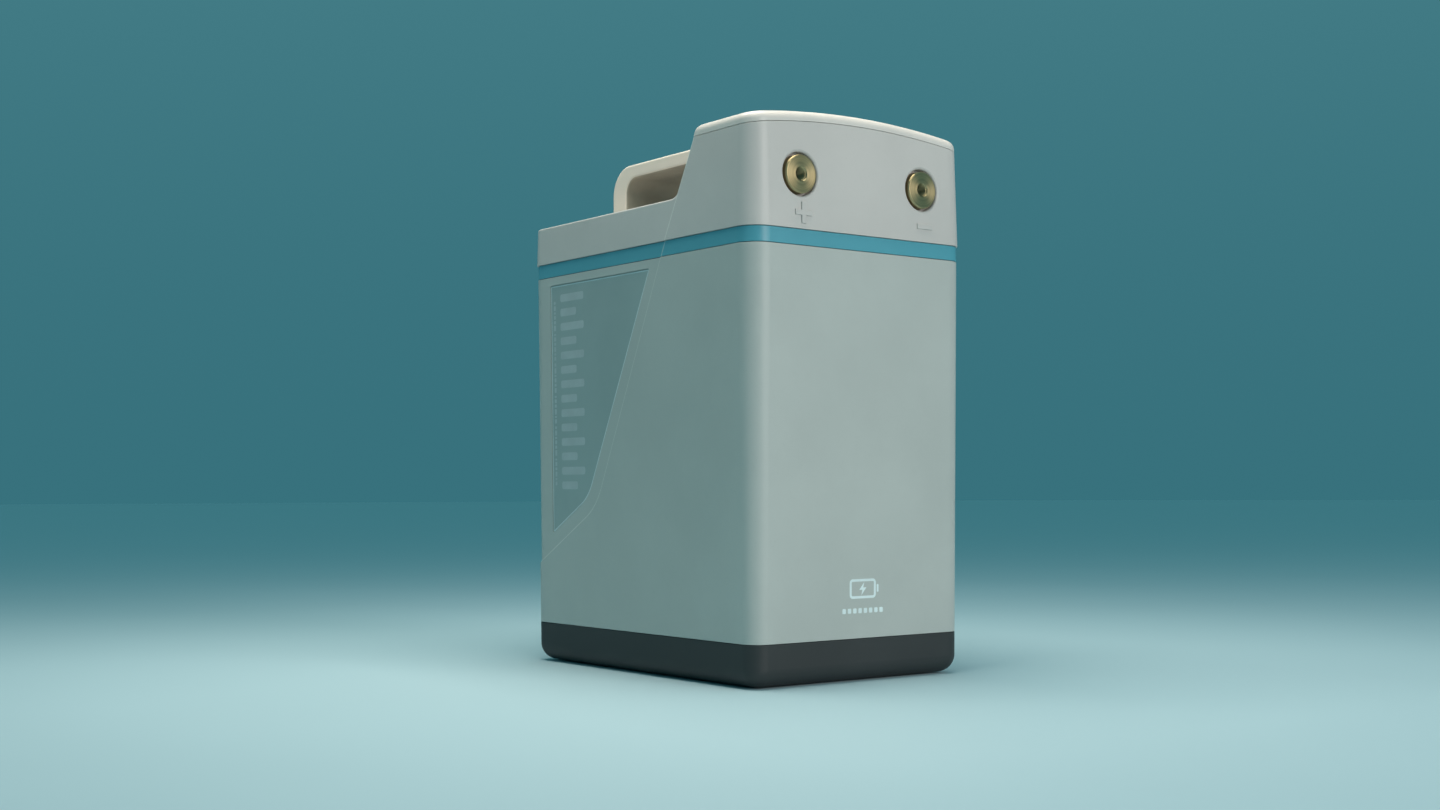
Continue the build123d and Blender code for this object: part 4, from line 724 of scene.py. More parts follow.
def shrink_film(name, base):
    """Blue shrink wrap over a can: clear gloss with long soft creases, paler over the edges."""
    material, tree, shader, place = start_material(name, **{"IOR": 1.52, "Coat Roughness": 0.08})
    crease = add_node(
        tree, "ShaderNodeMapping", {"Vector": place, "Scale": (1.0, 1.0, 0.15)}
    ).outputs["Vector"]
    folds = add_node(
        tree,
        "ShaderNodeTexNoise",
        {"Vector": crease, "Scale": 130.0, "Detail": 4.0, "Distortion": 0.8},
    )
    grain = effect(
        tree, "grain", {"Vector": place, "Grains per Metre": 900.0, "Mottles per Metre": 35.0}
    )
    edges = effect(tree, "edge", {"Vector": place, "Radius": 0.0008})
    toned = tint(tree, grain["Mottle"], shade(base, 0.85), shade(base, 1.15))
    toned = tint(tree, calc(tree, "MULTIPLY", edges["Mask"], 0.6), toned, (0.12, 0.26, 0.55))
    tree.links.new(toned, shader.inputs["Base Color"])
    tree.links.new(
        fade(tree, folds.outputs["Fac"], 0.3, 0.7, 0.16, 0.3), shader.inputs["Roughness"]
    )
    tree.links.new(
        fade(tree, folds.outputs["Fac"], 0.3, 0.7, 0.8, 0.4), shader.inputs["Coat Weight"]
    )
    raise_surface(tree, shader, folds.outputs["Fac"], 0.00025, edges["Normal"])
    return material


def solder_mask(name, base):
    """A printed circuit board: mask over copper tracks, with tinned round pads on a grid."""
    material, tree, shader, place = start_material(name, **{"IOR": 1.55, "Coat Roughness": 0.12})
    cells = add_node(
        tree, "ShaderNodeTexVoronoi", {
            "Vector": place, "Scale": 95.0, "Randomness": 0.85
        }, distance="MANHATTAN"
    )
    tracks = fade(tree, cells.outputs["Distance"], 0.36, 0.44)
    grid = add_node(
        tree, "ShaderNodeVectorMath", {0: place, 1: (0.005, 0.005, 0.005)}, operation="MODULO"
    ).outputs["Vector"]
    centred = add_node(
        tree, "ShaderNodeVectorMath", {0: grid, 1: (0.0025, 0.0025, 0.0)}, operation="SUBTRACT"
    ).outputs["Vector"]
    flat = add_node(
        tree, "ShaderNodeVectorMath", {0: centred, 1: (1.0, 1.0, 0.0)}, operation="MULTIPLY"
    ).outputs["Vector"]
    far = add_node(tree, "ShaderNodeVectorMath", {0: flat}, operation="LENGTH").outputs["Value"]
    chosen = fade(
        tree,
        add_node(tree, "ShaderNodeTexNoise", {"Vector": place, "Scale": 45.0}).outputs["Fac"],
        0.52,
        0.54,
    )
    pads = calc(tree, "MULTIPLY", fade(tree, far, 0.00062, 0.00055), chosen)
    grain = effect(
        tree, "grain", {"Vector": place, "Grains per Metre": 1500.0, "Mottles per Metre": 30.0}
    )
    toned = tint(tree, tracks, shade(base, 0.7), shade(base, 1.5))
    toned = tint(tree, calc(tree, "MULTIPLY", grain["Mottle"], 0.2), toned, shade(base, 0.5))
    toned = tint(tree, pads, toned, (0.72, 0.70, 0.66))
    tree.links.new(toned, shader.inputs["Base Color"])
    tree.links.new(pads, shader.inputs["Metallic"])
    tree.links.new(fade(tree, pads, 0.0, 1.0, 0.28, 0.35), shader.inputs["Roughness"])
    tree.links.new(fade(tree, pads, 0.0, 1.0, 0.5, 0.0), shader.inputs["Coat Weight"])
    raise_surface(tree, shader, calc(tree, "ADD", tracks, pads), 0.00004)
    return material


def flex_film(name, base):
    """Amber film with copper lanes that show through it."""
    material, tree, shader, place = start_material(name, **{"IOR": 1.6, "Coat Roughness": 0.1})
    lanes = add_node(
        tree, "ShaderNodeTexWave", {
            "Vector": place, "Scale": 160.0, "Distortion": 0.0
        }, bands_direction="X"
    ).outputs["Fac"]
    copper = fade(tree, lanes, 0.55, 0.65)
    grain = effect(
        tree, "grain", {"Vector": place, "Grains per Metre": 1400.0, "Mottles per Metre": 50.0}
    )
    toned = tint(tree, copper, base, (0.70, 0.36, 0.14))
    toned = tint(tree, calc(tree, "MULTIPLY", grain["Mottle"], 0.25), toned, shade(base, 0.6))
    tree.links.new(toned, shader.inputs["Base Color"])
    tree.links.new(fade(tree, copper, 0.0, 1.0, 0.0, 0.55), shader.inputs["Metallic"])
    tree.links.new(fade(tree, grain["Mottle"], 0.0, 1.0, 0.22, 0.34), shader.inputs["Roughness"])
    tree.links.new(fade(tree, grain["Mottle"], 0.0, 1.0, 0.7, 0.4), shader.inputs["Coat Weight"])
    raise_surface(tree, shader, copper, 0.00003)
    return material


def put_on(material, *names):
    """Gives CAD nodes their finish."""
    for name in names:
        node = frame["nodes"][name]
        if not node.material_slots:
            node.data.materials.append(material)
        for slot in node.material_slots:
            slot.material = material


# ---- shared modelling helpers -------------------------------------------------------------------


def finish_piece(bm, name, material, smooth=None):
    """Turns a bmesh into a piece of the pack. Faces that meet below the smooth angle shade as one."""
    mesh = bpy.data.meshes.new(name)
    bm.to_mesh(mesh)
    bm.free()
    piece = bpy.data.objects.new(name, mesh)
    bpy.context.scene.collection.objects.link(piece)
    mesh.materials.append(material)
    if smooth is not None:
        mesh.shade_smooth()
        mesh.set_sharp_from_angle(angle=smooth)
    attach(piece, "root")
    return piece


def rounded_bar(bm, centre, size, radius, segments=4):
    """A flat bar with rounded corners in the plane of its first two directions."""
    made = bmesh.ops.create_grid(bm, x_segments=1, y_segments=1, size=0.5)["verts"]
    bmesh.ops.scale(bm, vec=(size[0], size[1], 1), verts=made)
    bmesh.ops.translate(bm, vec=(centre[0], centre[1], 0), verts=made)
    bmesh.ops.bevel(
        bm, geom=made, offset=radius, segments=segments, profile=0.5, affect="VERTICES", material=-1
    )


def lay_on(bm, node, direction, height):
    """Projects flat print on to a part's face, and gives it the ink's thickness."""
    target = frame["nodes"][node]
    towards = Vector(direction)
    for vertex in bm.verts:
        start = vertex.co - towards * 0.5
        hit, place, _, _ = target.ray_cast(start, towards)
        if not hit:
            raise RuntimeError(f"the print runs off {node}")
        vertex.co = place - towards * height
    for face in bm.faces:
        face.normal_update()
        if face.normal.dot(towards) > 0:
            face.normal_flip()
    bmesh.ops.solidify(bm, geom=bm.faces[:], thickness=height)
    bmesh.ops.recalc_face_normals(bm, faces=bm.faces)


# ---- terminals ----------------------------------------------------------------------------------

MOUTH_LAND = 0.1 * MM  # from the mouth of the bore out to the start of the face
RIM_LAND = 0.6 * MM  # a ring of the face just inside its chamfer
PLAIN_SHANK = 7.4 * MM  # behind the head, before the nut's thread starts
THREAD_RUNOUT = 1.2 * MM
SHANK_THREAD_DEPTH = 0.75 * MM
SHANK_TIP_CHAMFER = 0.8 * MM
SHARP_EDGE = 0.5  # radians: an edge that turns further is broken
# One pitch of the bore's thread: how far along the pitch, and how far up from root to crest
THREAD_SHAPE = (
    (0.0, 0), (0.125, 0), (0.281, 0.5), (0.4375, 1), (0.6875, 1), (0.844, 0.5), (1.0, 0)
)

MAP_PER_RADIAN = 0.01
MAP_SIDE_START = 0.05  # where the sides start on the map, clear of the faces
FACES_ALONG = 0.7  # a face whose normal is closer to the axis than this is mapped by its radius


def turned_head(sizes, face_radius, head_depth, total_depth):
    """The outside of a terminal, spun from its profile. y runs inwards from the face."""
    profile = [
        (sizes.mouth_radius + MOUTH_LAND, 0.0),
        (face_radius - sizes.rim_chamfer - RIM_LAND, 0.0),
        (face_radius - sizes.rim_chamfer, 0.0),
        (face_radius, sizes.rim_chamfer),
        (face_radius, head_depth),
        (sizes.shank_radius, head_depth),
        (sizes.shank_radius, head_depth + PLAIN_SHANK),
    ]
    groove = head_depth + PLAIN_SHANK
    while groove + sizes.shank_pitch < total_depth - THREAD_RUNOUT:
        profile.append((sizes.shank_radius - SHANK_THREAD_DEPTH, groove + sizes.shank_pitch / 2))
        profile.append((sizes.shank_radius, groove + sizes.shank_pitch))
        groove += sizes.shank_pitch
    profile.append((sizes.shank_radius - SHANK_TIP_CHAMFER, total_depth))
    profile.append((0.0, total_depth))
    bm = bmesh.new()
    corners = [bm.verts.new((radius, depth, 0.0)) for radius, depth in profile]
    edges = [bm.edges.new(pair) for pair in zip(corners, corners[1:])]
    bmesh.ops.spin(
        bm,
        geom=corners + edges,
        cent=(0, 0, 0),
        axis=(0, 1, 0),
        dvec=(0, 0, 0),
        angle=FULL_TURN,
        steps=sizes.steps,
        use_merge=True,
        use_duplicate=False,
    )
    bmesh.ops.remove_doubles(bm, verts=bm.verts, dist=WELD)
    return bm


def cut_thread(bm, sizes):
    """The tapped bore, swept as a screw, opened into a cone at its mouth and cut off flat."""
    height = sizes.root_radius - sizes.crest_radius
    first = -1.5 * sizes.pitch
    turns = math.ceil((sizes.thread_depth - first) / sizes.pitch) + 1
    steps = sizes.steps // 2
    start = [
        bm.verts.new((sizes.root_radius - height * rise, first + sizes.pitch * along, 0.0))
        for along, rise in THREAD_SHAPE
    ]
    edges = [bm.edges.new(pair) for pair in zip(start, start[1:])]
    before = set(bm.verts) - set(start)
    bmesh.ops.spin(
        bm,
        geom=start + edges,
        cent=(0, 0, 0),
        axis=(0, 1, 0),
        dvec=(0, sizes.pitch / steps, 0),
        angle=FULL_TURN * turns,
        steps=steps * turns,
        use_merge=False,
        use_duplicate=False,
    )
    bmesh.ops.remove_doubles(bm, verts=[v for v in bm.verts if v not in before], dist=WELD * 5)
    threaded = [v for v in bm.verts if v not in before]
    for vertex in threaded:
        radius = math.hypot(vertex.co.x, vertex.co.z)
        cone = sizes.mouth_radius - vertex.co.y
        if cone > radius:
            vertex.co.x *= cone / radius
            vertex.co.z *= cone / radius
    for depth, inward in ((0.0, -1), (sizes.thread_depth, 1)):
        faces = {f for v in threaded if v.is_valid for f in v.link_faces}
        geom = list(
            faces | {e for f in faces for e in f.edges} | {v for f in faces for v in f.verts}
        )
        bmesh.ops.bisect_plane(
            bm,
            geom=geom,
            dist=WELD / 10,
            plane_co=(0, depth, 0),
            plane_no=(0, inward, 0),
            clear_outer=True,
        )
        threaded = [v for v in bm.verts if v not in before]
    loose = [v for v in threaded if not v.link_faces]
    bmesh.ops.delete(bm, geom=loose, context="VERTS")


def open_rim(bm, depth):
    """The open edges that lie in the plane at a depth."""
    return [
        e for e in bm.edges if e.is_boundary and all(abs(v.co.y - depth) < WELD for v in e.verts)
    ]


def round_axis(vertex):
    """A vertex's angle about the terminal's axis."""
    return math.atan2(vertex.co.z, vertex.co.x)


def join_rims(bm, sizes):
    """Fills the flat ring between the face and the bore's mouth with triangles."""
    rim = {v for e in open_rim(bm, 0.0) for v in e.verts}
    border = sizes.mouth_radius + MOUTH_LAND / 2
    outer = sorted((v for v in rim if math.hypot(v.co.x, v.co.z) > border), key=round_axis)
    inner = sorted((v for v in rim if math.hypot(v.co.x, v.co.z) <= border), key=round_axis)
    rings, at = (outer, inner), [0, 0]
    while at[0] < len(outer) or at[1] < len(inner):
        here = [ring[step % len(ring)] for ring, step in zip(rings, at)]
        following = [ring[(step + 1) % len(ring)] for ring, step in zip(rings, at)]
        ahead = [
            round_axis(v) + FULL_TURN * ((step + 1) // len(ring))
            for v, ring, step in zip(following, rings, at)
        ]
        inner_done, outer_done = at[1] >= len(inner), at[0] >= len(outer)
        move = 0 if inner_done or (not outer_done and ahead[0] < ahead[1]) else 1
        bm.faces.new((here[0], here[1], following[move]))
        at[move] += 1


def map_turning(bm):
    """A map that runs round the axis one way and across the tool's rings the other, in metres."""
    layer = bm.loops.layers.uv.new("Turning")
    for face in bm.faces:
        middle = face.calc_center_median()
        about = math.atan2(middle.z, middle.x)
        flat = abs(face.normal.y) > FACES_ALONG
        for loop in face.loops:
            place = loop.vert.co
            radius = math.hypot(place.x, place.z)
            turn = math.atan2(place.z, place.x) if radius > WELD else about
            turn += FULL_TURN * round((about - turn) / FULL_TURN)
            loop[layer].uv = (turn * MAP_PER_RADIAN, radius if flat else place.y + MAP_SIDE_START)


def make_terminal(name, sizes, material):
    """A terminal with its head, shank and real thread, in place of the plain one."""
    low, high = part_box(name)
    axis = mount_place(name)
    face_radius = (high.x - low.x) / 2
    bm = turned_head(sizes, face_radius, sizes.head_depth, high.y - low.y)
    sharp = [e for e in bm.edges if e.is_manifold and abs(e.calc_face_angle()) > SHARP_EDGE]
    bmesh.ops.bevel(
        bm, geom=sharp, offset=sizes.edge_break, segments=2, profile=0.5, affect="EDGES", material=-1
    )
    cut_thread(bm, sizes)
    join_rims(bm, sizes)
    bmesh.ops.holes_fill(bm, edges=open_rim(bm, sizes.thread_depth), sides=0)
    bmesh.ops.recalc_face_normals(bm, faces=bm.faces)
    map_turning(bm)
    bmesh.ops.translate(bm, vec=(axis.x, low.y, axis.z), verts=bm.verts)
    piece = finish_piece(bm, name + "_turned", material, smooth=math.radians(28))
    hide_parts(name)
    return piece


# ---- prints -------------------------------------------------------------------------------------

LABEL_FACE_REACH = 4.5 * MM  # how far in from its outermost point a label's outer face may lie
SHORT_BAR = 0.32  # how much of a long bar a short bar leaves off
TICK_RUNS = (2.6, 1.5, 3.4, 1.9, 2.9, 1.3, 3.8, 2.2)  # lengths in millimetres, over and over
TICK_WIDTH, TICK_CORNER = 2.3 * MM, 0.35 * MM
TICK_GAP, TICK_GROUP_GAP, TICK_GROUP = 0.9, 1.9, 6
SPARK = ((0.10, 0.34), (-0.24, -0.06), (-0.03, -0.06), (-0.10, -0.34), (0.24, 0.06), (0.03, 0.06))
DASHES = 8
BESIDE_PACK, BEFORE_PACK = 0.09, -0.13  # where flat print waits before it is laid on


def keyline(side, sizes, material):
    """A thin pale line just inside the edge of a label, made from the label's own face."""
    node = f"label_panel_{side}"
    out = Vector((SIDES[side], 0, 0))
    bm = bmesh.new()
    bm.from_mesh(frame["nodes"][node].data)
    bmesh.ops.remove_doubles(bm, verts=bm.verts, dist=WELD * 5)
    low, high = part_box(node)
    outer = high.x if out.x > 0 else low.x
    hidden = [
        f
        for f in bm.faces
        if f.normal.dot(out) < 0.9 or abs(f.calc_center_median().x - outer) > LABEL_FACE_REACH
    ]
    bmesh.ops.delete(bm, geom=hidden, context="FACES")
    bmesh.ops.dissolve_limit(bm, angle_limit=math.radians(2), verts=bm.verts, edges=bm.edges)
    if not bm.faces:
        raise RuntimeError(f"{node} has no outer face")
    bmesh.ops.inset_region(
        bm,
        faces=bm.faces[:],
        thickness=sizes.keyline_margin,
        use_boundary=True,
        use_even_offset=True,
    )
    panel = max(bm.faces, key=lambda f: f.calc_area())
    bmesh.ops.delete(bm, geom=[f for f in bm.faces if f is not panel], context="FACES")
    bmesh.ops.inset_region(
        bm,
        faces=bm.faces[:],
        thickness=sizes.keyline_width,
        use_boundary=True,
        use_even_offset=True,
    )
    panel = max(bm.faces, key=lambda f: f.calc_area())
    bmesh.ops.delete(bm, geom=[panel], context="FACES_ONLY")
    bmesh.ops.translate(bm, vec=out * sizes.ink, verts=bm.verts)
    bmesh.ops.solidify(bm, geom=bm.faces[:], thickness=sizes.ink)
    bmesh.ops.recalc_face_normals(bm, faces=bm.faces)
    return finish_piece(bm, f"keyline_{side}", material)


def upright(bm, side):
    """Stands flat print up beside the pack: its first direction runs rearwards, its second up."""
    turn = Matrix(((0, 0, 1, 0), (1, 0, 0, 0), (0, 1, 0, 0), (0, 0, 0, 1)))
    bmesh.ops.transform(bm, matrix=turn, verts=bm.verts)
    bmesh.ops.translate(bm, vec=(SIDES[side] * BESIDE_PACK, 0, 0), verts=bm.verts)


def level_gauge(side, sizes, material):
    """A column of long and short bars, as on a level gauge, with a line of fine ticks behind it."""
    bm = bmesh.new()
    step = (sizes.gauge_top - sizes.gauge_bottom) / (sizes.bar_count - 1)
    for index in range(sizes.bar_count):
        front = sizes.gauge_front
        if index % 2 == 0:
            front += (sizes.gauge_rear - sizes.gauge_front) * SHORT_BAR
        centre = ((front + sizes.gauge_rear) / 2, sizes.gauge_bottom + step * index)
        rounded_bar(
            bm, centre, (sizes.gauge_rear - front, sizes.bar_height), sizes.bar_height * 0.3
        )
    upright(bm, side)
    lay_on(bm, f"label_panel_{side}", (-SIDES[side], 0, 0), sizes.ink)
    gauge = finish_piece(bm, f"level_gauge_{side}", material)
    bm = bmesh.new()
    height = sizes.gauge_bottom
    index = 0
    while height < sizes.gauge_top:
        run = TICK_RUNS[index % len(TICK_RUNS)] * MM
        rounded_bar(
            bm, (sizes.tick_line, height + run / 2), (TICK_WIDTH, run), TICK_CORNER, segments=2
        )
        height += run + (TICK_GROUP_GAP if index % TICK_GROUP == TICK_GROUP - 1 else TICK_GAP) * MM
        index += 1
    upright(bm, side)
    lay_on(bm, f"label_panel_{side}", (-SIDES[side], 0, 0), sizes.ink)
    ticks = finish_piece(bm, f"fine_ticks_{side}", material)
    return gauge, ticks


def cell_symbol(sizes, material):
    """A plain battery outline with a spark inside it, over a short row of dashes."""
    width = sizes.symbol_width
    tall = width * 0.56
    bm = bmesh.new()
    rounded_bar(bm, (0, 0), (width, tall), tall * 0.2, segments=6)
    bmesh.ops.inset_region(
        bm, faces=bm.faces[:], thickness=width * 0.075, use_boundary=True, use_even_offset=True
    )
    bmesh.ops.delete(bm, geom=[max(bm.faces, key=lambda f: f.calc_area())], context="FACES_ONLY")
    rounded_bar(bm, (width * 0.57, 0), (width * 0.07, tall * 0.4), width * 0.02, segments=3)
    bm.faces.new([bm.verts.new((x * tall, z * tall, 0)) for x, z in SPARK])
    dash = width * 0.13
    for index in range(DASHES):
        place = (index - (DASHES - 1) / 2) * dash * 1.55
        rounded_bar(bm, (place, -tall * 1.12), (dash, tall * 0.26), dash * 0.22, segments=3)
    turn = Matrix(((1, 0, 0, 0), (0, 0, 1, 0), (0, 1, 0, 0), (0, 0, 0, 1)))
    bmesh.ops.transform(bm, matrix=turn, verts=bm.verts)
    bmesh.ops.translate(bm, vec=(0, BEFORE_PACK, sizes.symbol_height), verts=bm.verts)
    lay_on(bm, "main_case", (0, 1, 0), sizes.ink)
    return finish_piece(bm, "front_symbol", material)


# ---- operators ----------------------------------------------------------------------------------


def settings():
    """What the user has chosen."""
    return bpy.context.scene.battery_pack


class BATTERYPACK_OT_turn_terminals(bpy.types.Operator):
    """Turns the two brass terminals with their threads"""

    bl_idname = "battery_pack.turn_terminals"
    bl_label = "Turn Terminals"

    def execute(self, context):
        chosen = settings()
        brass = turned_brass("Turned Brass", chosen.colours.brass)
        for name in ("terminal_positive", "terminal_negative"):
            make_terminal(name, chosen.terminal, brass)
        return {"FINISHED"}


class BATTERYPACK_OT_print_sides(bpy.types.Operator):
    """Prints the keyline, the level gauge and the fine ticks on both labels"""

    bl_idname = "battery_pack.print_sides"
    bl_label = "Print Side Labels"

    def execute(self, context):
        chosen = settings()
        line = screen_ink("Keyline Ink", chosen.colours.ink)
        ink = screen_ink("Gauge Ink", shade(chosen.colours.ink, 0.72))
        for side in SIDES:
            keyline(side, chosen.prints, line)
            level_gauge(side, chosen.prints, ink)
        return {"FINISHED"}


class BATTERYPACK_OT_print_front(bpy.types.Operator):
    """Prints a plain battery symbol low on the front"""

    bl_idname = "battery_pack.print_front"
    bl_label = "Print Front Symbol"

    def execute(self, context):
        chosen = settings()
        cell_symbol(chosen.prints, screen_ink("Front Ink", shade(chosen.colours.ink, 1.2)))
        return {"FINISHED"}


class BATTERYPACK_OT_finish_shells(bpy.types.Operator):
    """Finishes the case, lid, cap, band, base and labels"""

    bl_idname = "battery_pack.finish_shells"
    bl_label = "Finish Shells"

    def execute(self, context):
        colours = settings().colours
        # seam sets the strength of the painted highlight along the slanted seam
        put_on(moulded_plastic("Body Moulding", colours.case, 0.44, seam=0.4), "main_case")
        put_on(
            moulded_plastic("Lid Moulding", colours.lid, 0.42, dust=0.18, seam=0.8),
            "lid",
            "deck_plugs",
        )
        put_on(
            moulded_plastic("Cap Moulding", colours.cap, 0.38, grains=2000.0, edge=0.0004),
            "top_cap",
        )
        put_on(
            moulded_plastic(
                "Band Moulding",
                colours.band,
                0.36,
                grains=2200.0,
                depth=0.000008,
                wear=0.35,
                dust=0.05,
                seam=0.55,
            ),
            "trim_band",
        )
        put_on(
            moulded_plastic(
                "Base Moulding",
                colours.base,
                0.58,
                grains=1100.0,
                depth=0.00003,
                wear=0.5,
                mottle=0.12,
            ),
            "base_tray",
        )
        put_on(
            printed_film("Label Film", colours.label, 0.4), "label_panel_left", "label_panel_right"
        )
        return {"FINISHED"}


class BATTERYPACK_OT_finish_handle(bpy.types.Operator):
    """Finishes the carry handle, with painted shade in its opening"""

    bl_idname = "battery_pack.finish_handle"
    bl_label = "Finish Handle"

    def execute(self, context):
        put_on(
            handle_with_painted_shade("Handle Moulding", settings().colours.handle, settings().colours.painted_shade),
            "carry_handle",
        )
        return {"FINISHED"}


class BATTERYPACK_OT_finish_seals(bpy.types.Operator):
    """Finishes the gaskets, seals, feet and foam"""

    bl_idname = "battery_pack.finish_seals"
    bl_label = "Finish Seals and Feet"

    def execute(self, context):
        put_on(moulded_rubber("Foot Rubber", (0.028, 0.028, 0.03)), "rubber_feet")
        put_on(
            moulded_rubber("Seal Rubber", (0.018, 0.018, 0.02), 0.6),
            "case_gasket",
            "lid_gasket",
            "terminal_seals",
        )
        put_on(closed_foam("Grey Foam", (0.12, 0.12, 0.13)), "base_foam", "side_foam")
        return {"FINISHED"}


class BATTERYPACK_OT_finish_cells(bpy.types.Operator):
    """Finishes the cells and what holds them together"""

    bl_idname = "battery_pack.finish_cells"
    bl_label = "Finish Cells"

    def execute(self, context):
        put_on(shrink_film("Cell Wrap", settings().colours.film), *CELLS)
        aluminium = sheet_metal("Cell Posts Aluminium", (0.78, 0.79, 0.80), 0.28, lines=3000.0)
        put_on(aluminium, "cell_posts_positive", "cell_posts_negative", "cell_vents")
        plate = sheet_metal(
            "End Plate Aluminium", (0.74, 0.75, 0.76), 0.34, stretch=(0.03, 1.0, 1.0), stained=0.15
        )
        put_on(plate, "front_end_plate", "rear_end_plate")
        put_on(sheet_metal("Strap Steel", (0.62, 0.63, 0.64), 0.3, stained=0.2), "pack_straps")
        card = moulded_plastic(
            "Separator Card", (0.70, 0.69, 0.62), 0.6, grains=700.0, depth=0.00003, mottle=0.08
        )
        put_on(card, "cell_separators")
        return {"FINISHED"}


class BATTERYPACK_OT_finish_bars(bpy.types.Operator):
    """Finishes the busbars, links and the fuse"""

    bl_idname = "battery_pack.finish_bars"
    bl_label = "Finish Bars and Fuse"

    def execute(self, context):
        copper = sheet_metal(
            "Copper Bar",
            (0.80, 0.42, 0.26),
            0.26,
            stretch=(1.0, 0.04, 1.0),
            tarnish=(0.28, 0.12, 0.07),
            stained=0.55,
        )
        put_on(copper, "positive_link", "negative_link", "positive_busbar", "negative_busbar")
        put_on(
            sheet_metal("Cell Busbar Copper", (0.76, 0.44, 0.29), 0.3, tarnish=(0.34, 0.17, 0.1)),
            "cell_busbars",
        )
        fuse = moulded_plastic(
            "Fuse Moulding", (0.035, 0.035, 0.04), 0.3, grains=1300.0, wear=0.6, mottle=0.1
        )
        put_on(fuse, "main_fuse")
        return {"FINISHED"}


class BATTERYPACK_OT_finish_electronics(bpy.types.Operator):
    """Finishes the management board and what stands on it"""

    bl_idname = "battery_pack.finish_electronics"
    bl_label = "Finish Electronics"

    def execute(self, context):
        put_on(solder_mask("Solder Mask", (0.012, 0.13, 0.055)), "bms_board")
        carrier = moulded_plastic(
            "Carrier Moulding", (0.66, 0.65, 0.58), 0.5, grains=1200.0, mottle=0.06
        )
        put_on(carrier, "bms_carrier")
        epoxy = moulded_plastic(
            "Component Epoxy", (0.02, 0.02, 0.021), 0.5, grains=3500.0, edge=0.0002, mottle=0.15
        )
        put_on(epoxy, "bms_transistors", "bms_chips")
        sleeve = moulded_plastic(
            "Capacitor Sleeve", (0.016, 0.018, 0.024), 0.25, grains=3000.0, wear=0.5, mottle=0.1
        )
        put_on(sleeve, "bms_capacitors")
        nylon = moulded_plastic(
            "Connector Nylon", (0.74, 0.73, 0.66), 0.45, grains=2600.0, edge=0.0002, mottle=0.04
        )
        put_on(nylon, "bms_connectors")
        sink = sheet_metal(
            "Heat Sink Aluminium",
            (0.30, 0.31, 0.33),
            0.38,
            stretch=(0.04, 1.0, 1.0),
            tarnish=(0.12, 0.12, 0.13),
        )
        put_on(sink, "bms_heat_sink")
        shunt = sheet_metal("Shunt Alloy", (0.62, 0.50, 0.40), 0.3, tarnish=(0.35, 0.26, 0.2))
        put_on(shunt, "bms_shunt")
        put_on(flex_film("Sense Film", (0.36, 0.13, 0.02)), "sense_flex")
        return {"FINISHED"}


class BATTERYPACK_OT_finish_fixings(bpy.types.Operator):
    """Finishes the screws, nuts, washers and inserts"""

    bl_idname = "battery_pack.finish_fixings"
    bl_label = "Finish Fixings"

    def execute(self, context):
        zinc = sheet_metal(
            "Zinc Plate",
            (0.66, 0.68, 0.70),
            0.26,
            lines=1600.0,
            stretch=(1.0, 1.0, 0.3),
            stained=0.25,
        )
        put_on(
            zinc,
            "base_screws",
            "lid_screws",
            "handle_screws",
            "bms_screws",
            "terminal_washers",
            "busbar_nuts",
        )
        put_on(
            sheet_metal(
                "Nut Brass", (0.60, 0.46, 0.22), 0.3, lines=1800.0, stretch=(1.0, 1.0, 1.0)
            ),
            "terminal_nuts",
        )
        insert = sheet_metal(
            "Insert Brass", (0.58, 0.44, 0.2), 0.32, lines=2400.0, stretch=(1.0, 1.0, 0.2)
        )
        put_on(insert, "case_inserts", "handle_inserts")
        return {"FINISHED"}


class BATTERYPACK_OT_set_stage(bpy.types.Operator):
    """Lays the pale floor, hangs the soft panels and stands the camera"""

    bl_idname = "battery_pack.set_stage"
    bl_label = "Set Stage"

    def execute(self, context):
        studio = settings().studio
        lay_floor(studio)
        light_room(studio)
        soft_panel(
            "Overhead Panel",
            (-0.10, -0.02, 0.80),
            (-0.10, -0.02, 0.0),
            (0.44, 0.50),
            studio.overhead,
            (1.0, 0.94, 0.84),
        )
        soft_panel(
            "Front Panel",
            (0.30, -1.90, 0.66),
            (0.0, -0.05, 0.18),
            (0.90, 1.00),
            studio.key,
            (1.0, 0.94, 0.91),
        )
        soft_panel(
            "Rim Panel",
            (-0.9, 1.3, 0.9),
            (0.0, 0.0, 0.2),
            (0.50, 0.90),
            studio.rim,
            (1.0, 0.93, 0.84),
        )
        stand_camera(context, studio)
        return {"FINISHED"}


SENSOR_WIDTH = 36.0
CAMERA_PLACE = (-0.7025, -0.9155, 0.1172)
CAMERA_UP, CAMERA_LEFT, CAMERA_ROLL = (math.radians(angle) for angle in (2.71, -36.88, -0.18))


def lay_floor(studio):
    """A wide pale floor."""
    bm = bmesh.new()
    bmesh.ops.create_circle(bm, cap_ends=True, cap_tris=False, radius=14.0, segments=96)
    mesh = bpy.data.meshes.new("floor")
    bm.to_mesh(mesh)
    bm.free()
    floor = bpy.data.objects.new("floor", mesh)
    bpy.context.scene.collection.objects.link(floor)
    material, tree, shader, place = start_material("Studio Floor", **{"IOR": 1.4})
    patch = add_node(tree, "ShaderNodeTexNoise", {"Vector": place, "Scale": 3.0, "Detail": 3.0})
    toned = tint(tree, patch.outputs["Fac"], shade(studio.floor, 0.98), shade(studio.floor, 1.02))
    tree.links.new(toned, shader.inputs["Base Color"])
    tree.links.new(
        fade(tree, patch.outputs["Fac"], 0.3, 0.7, 0.6, 0.66), shader.inputs["Roughness"]
    )
    mesh.materials.append(material)


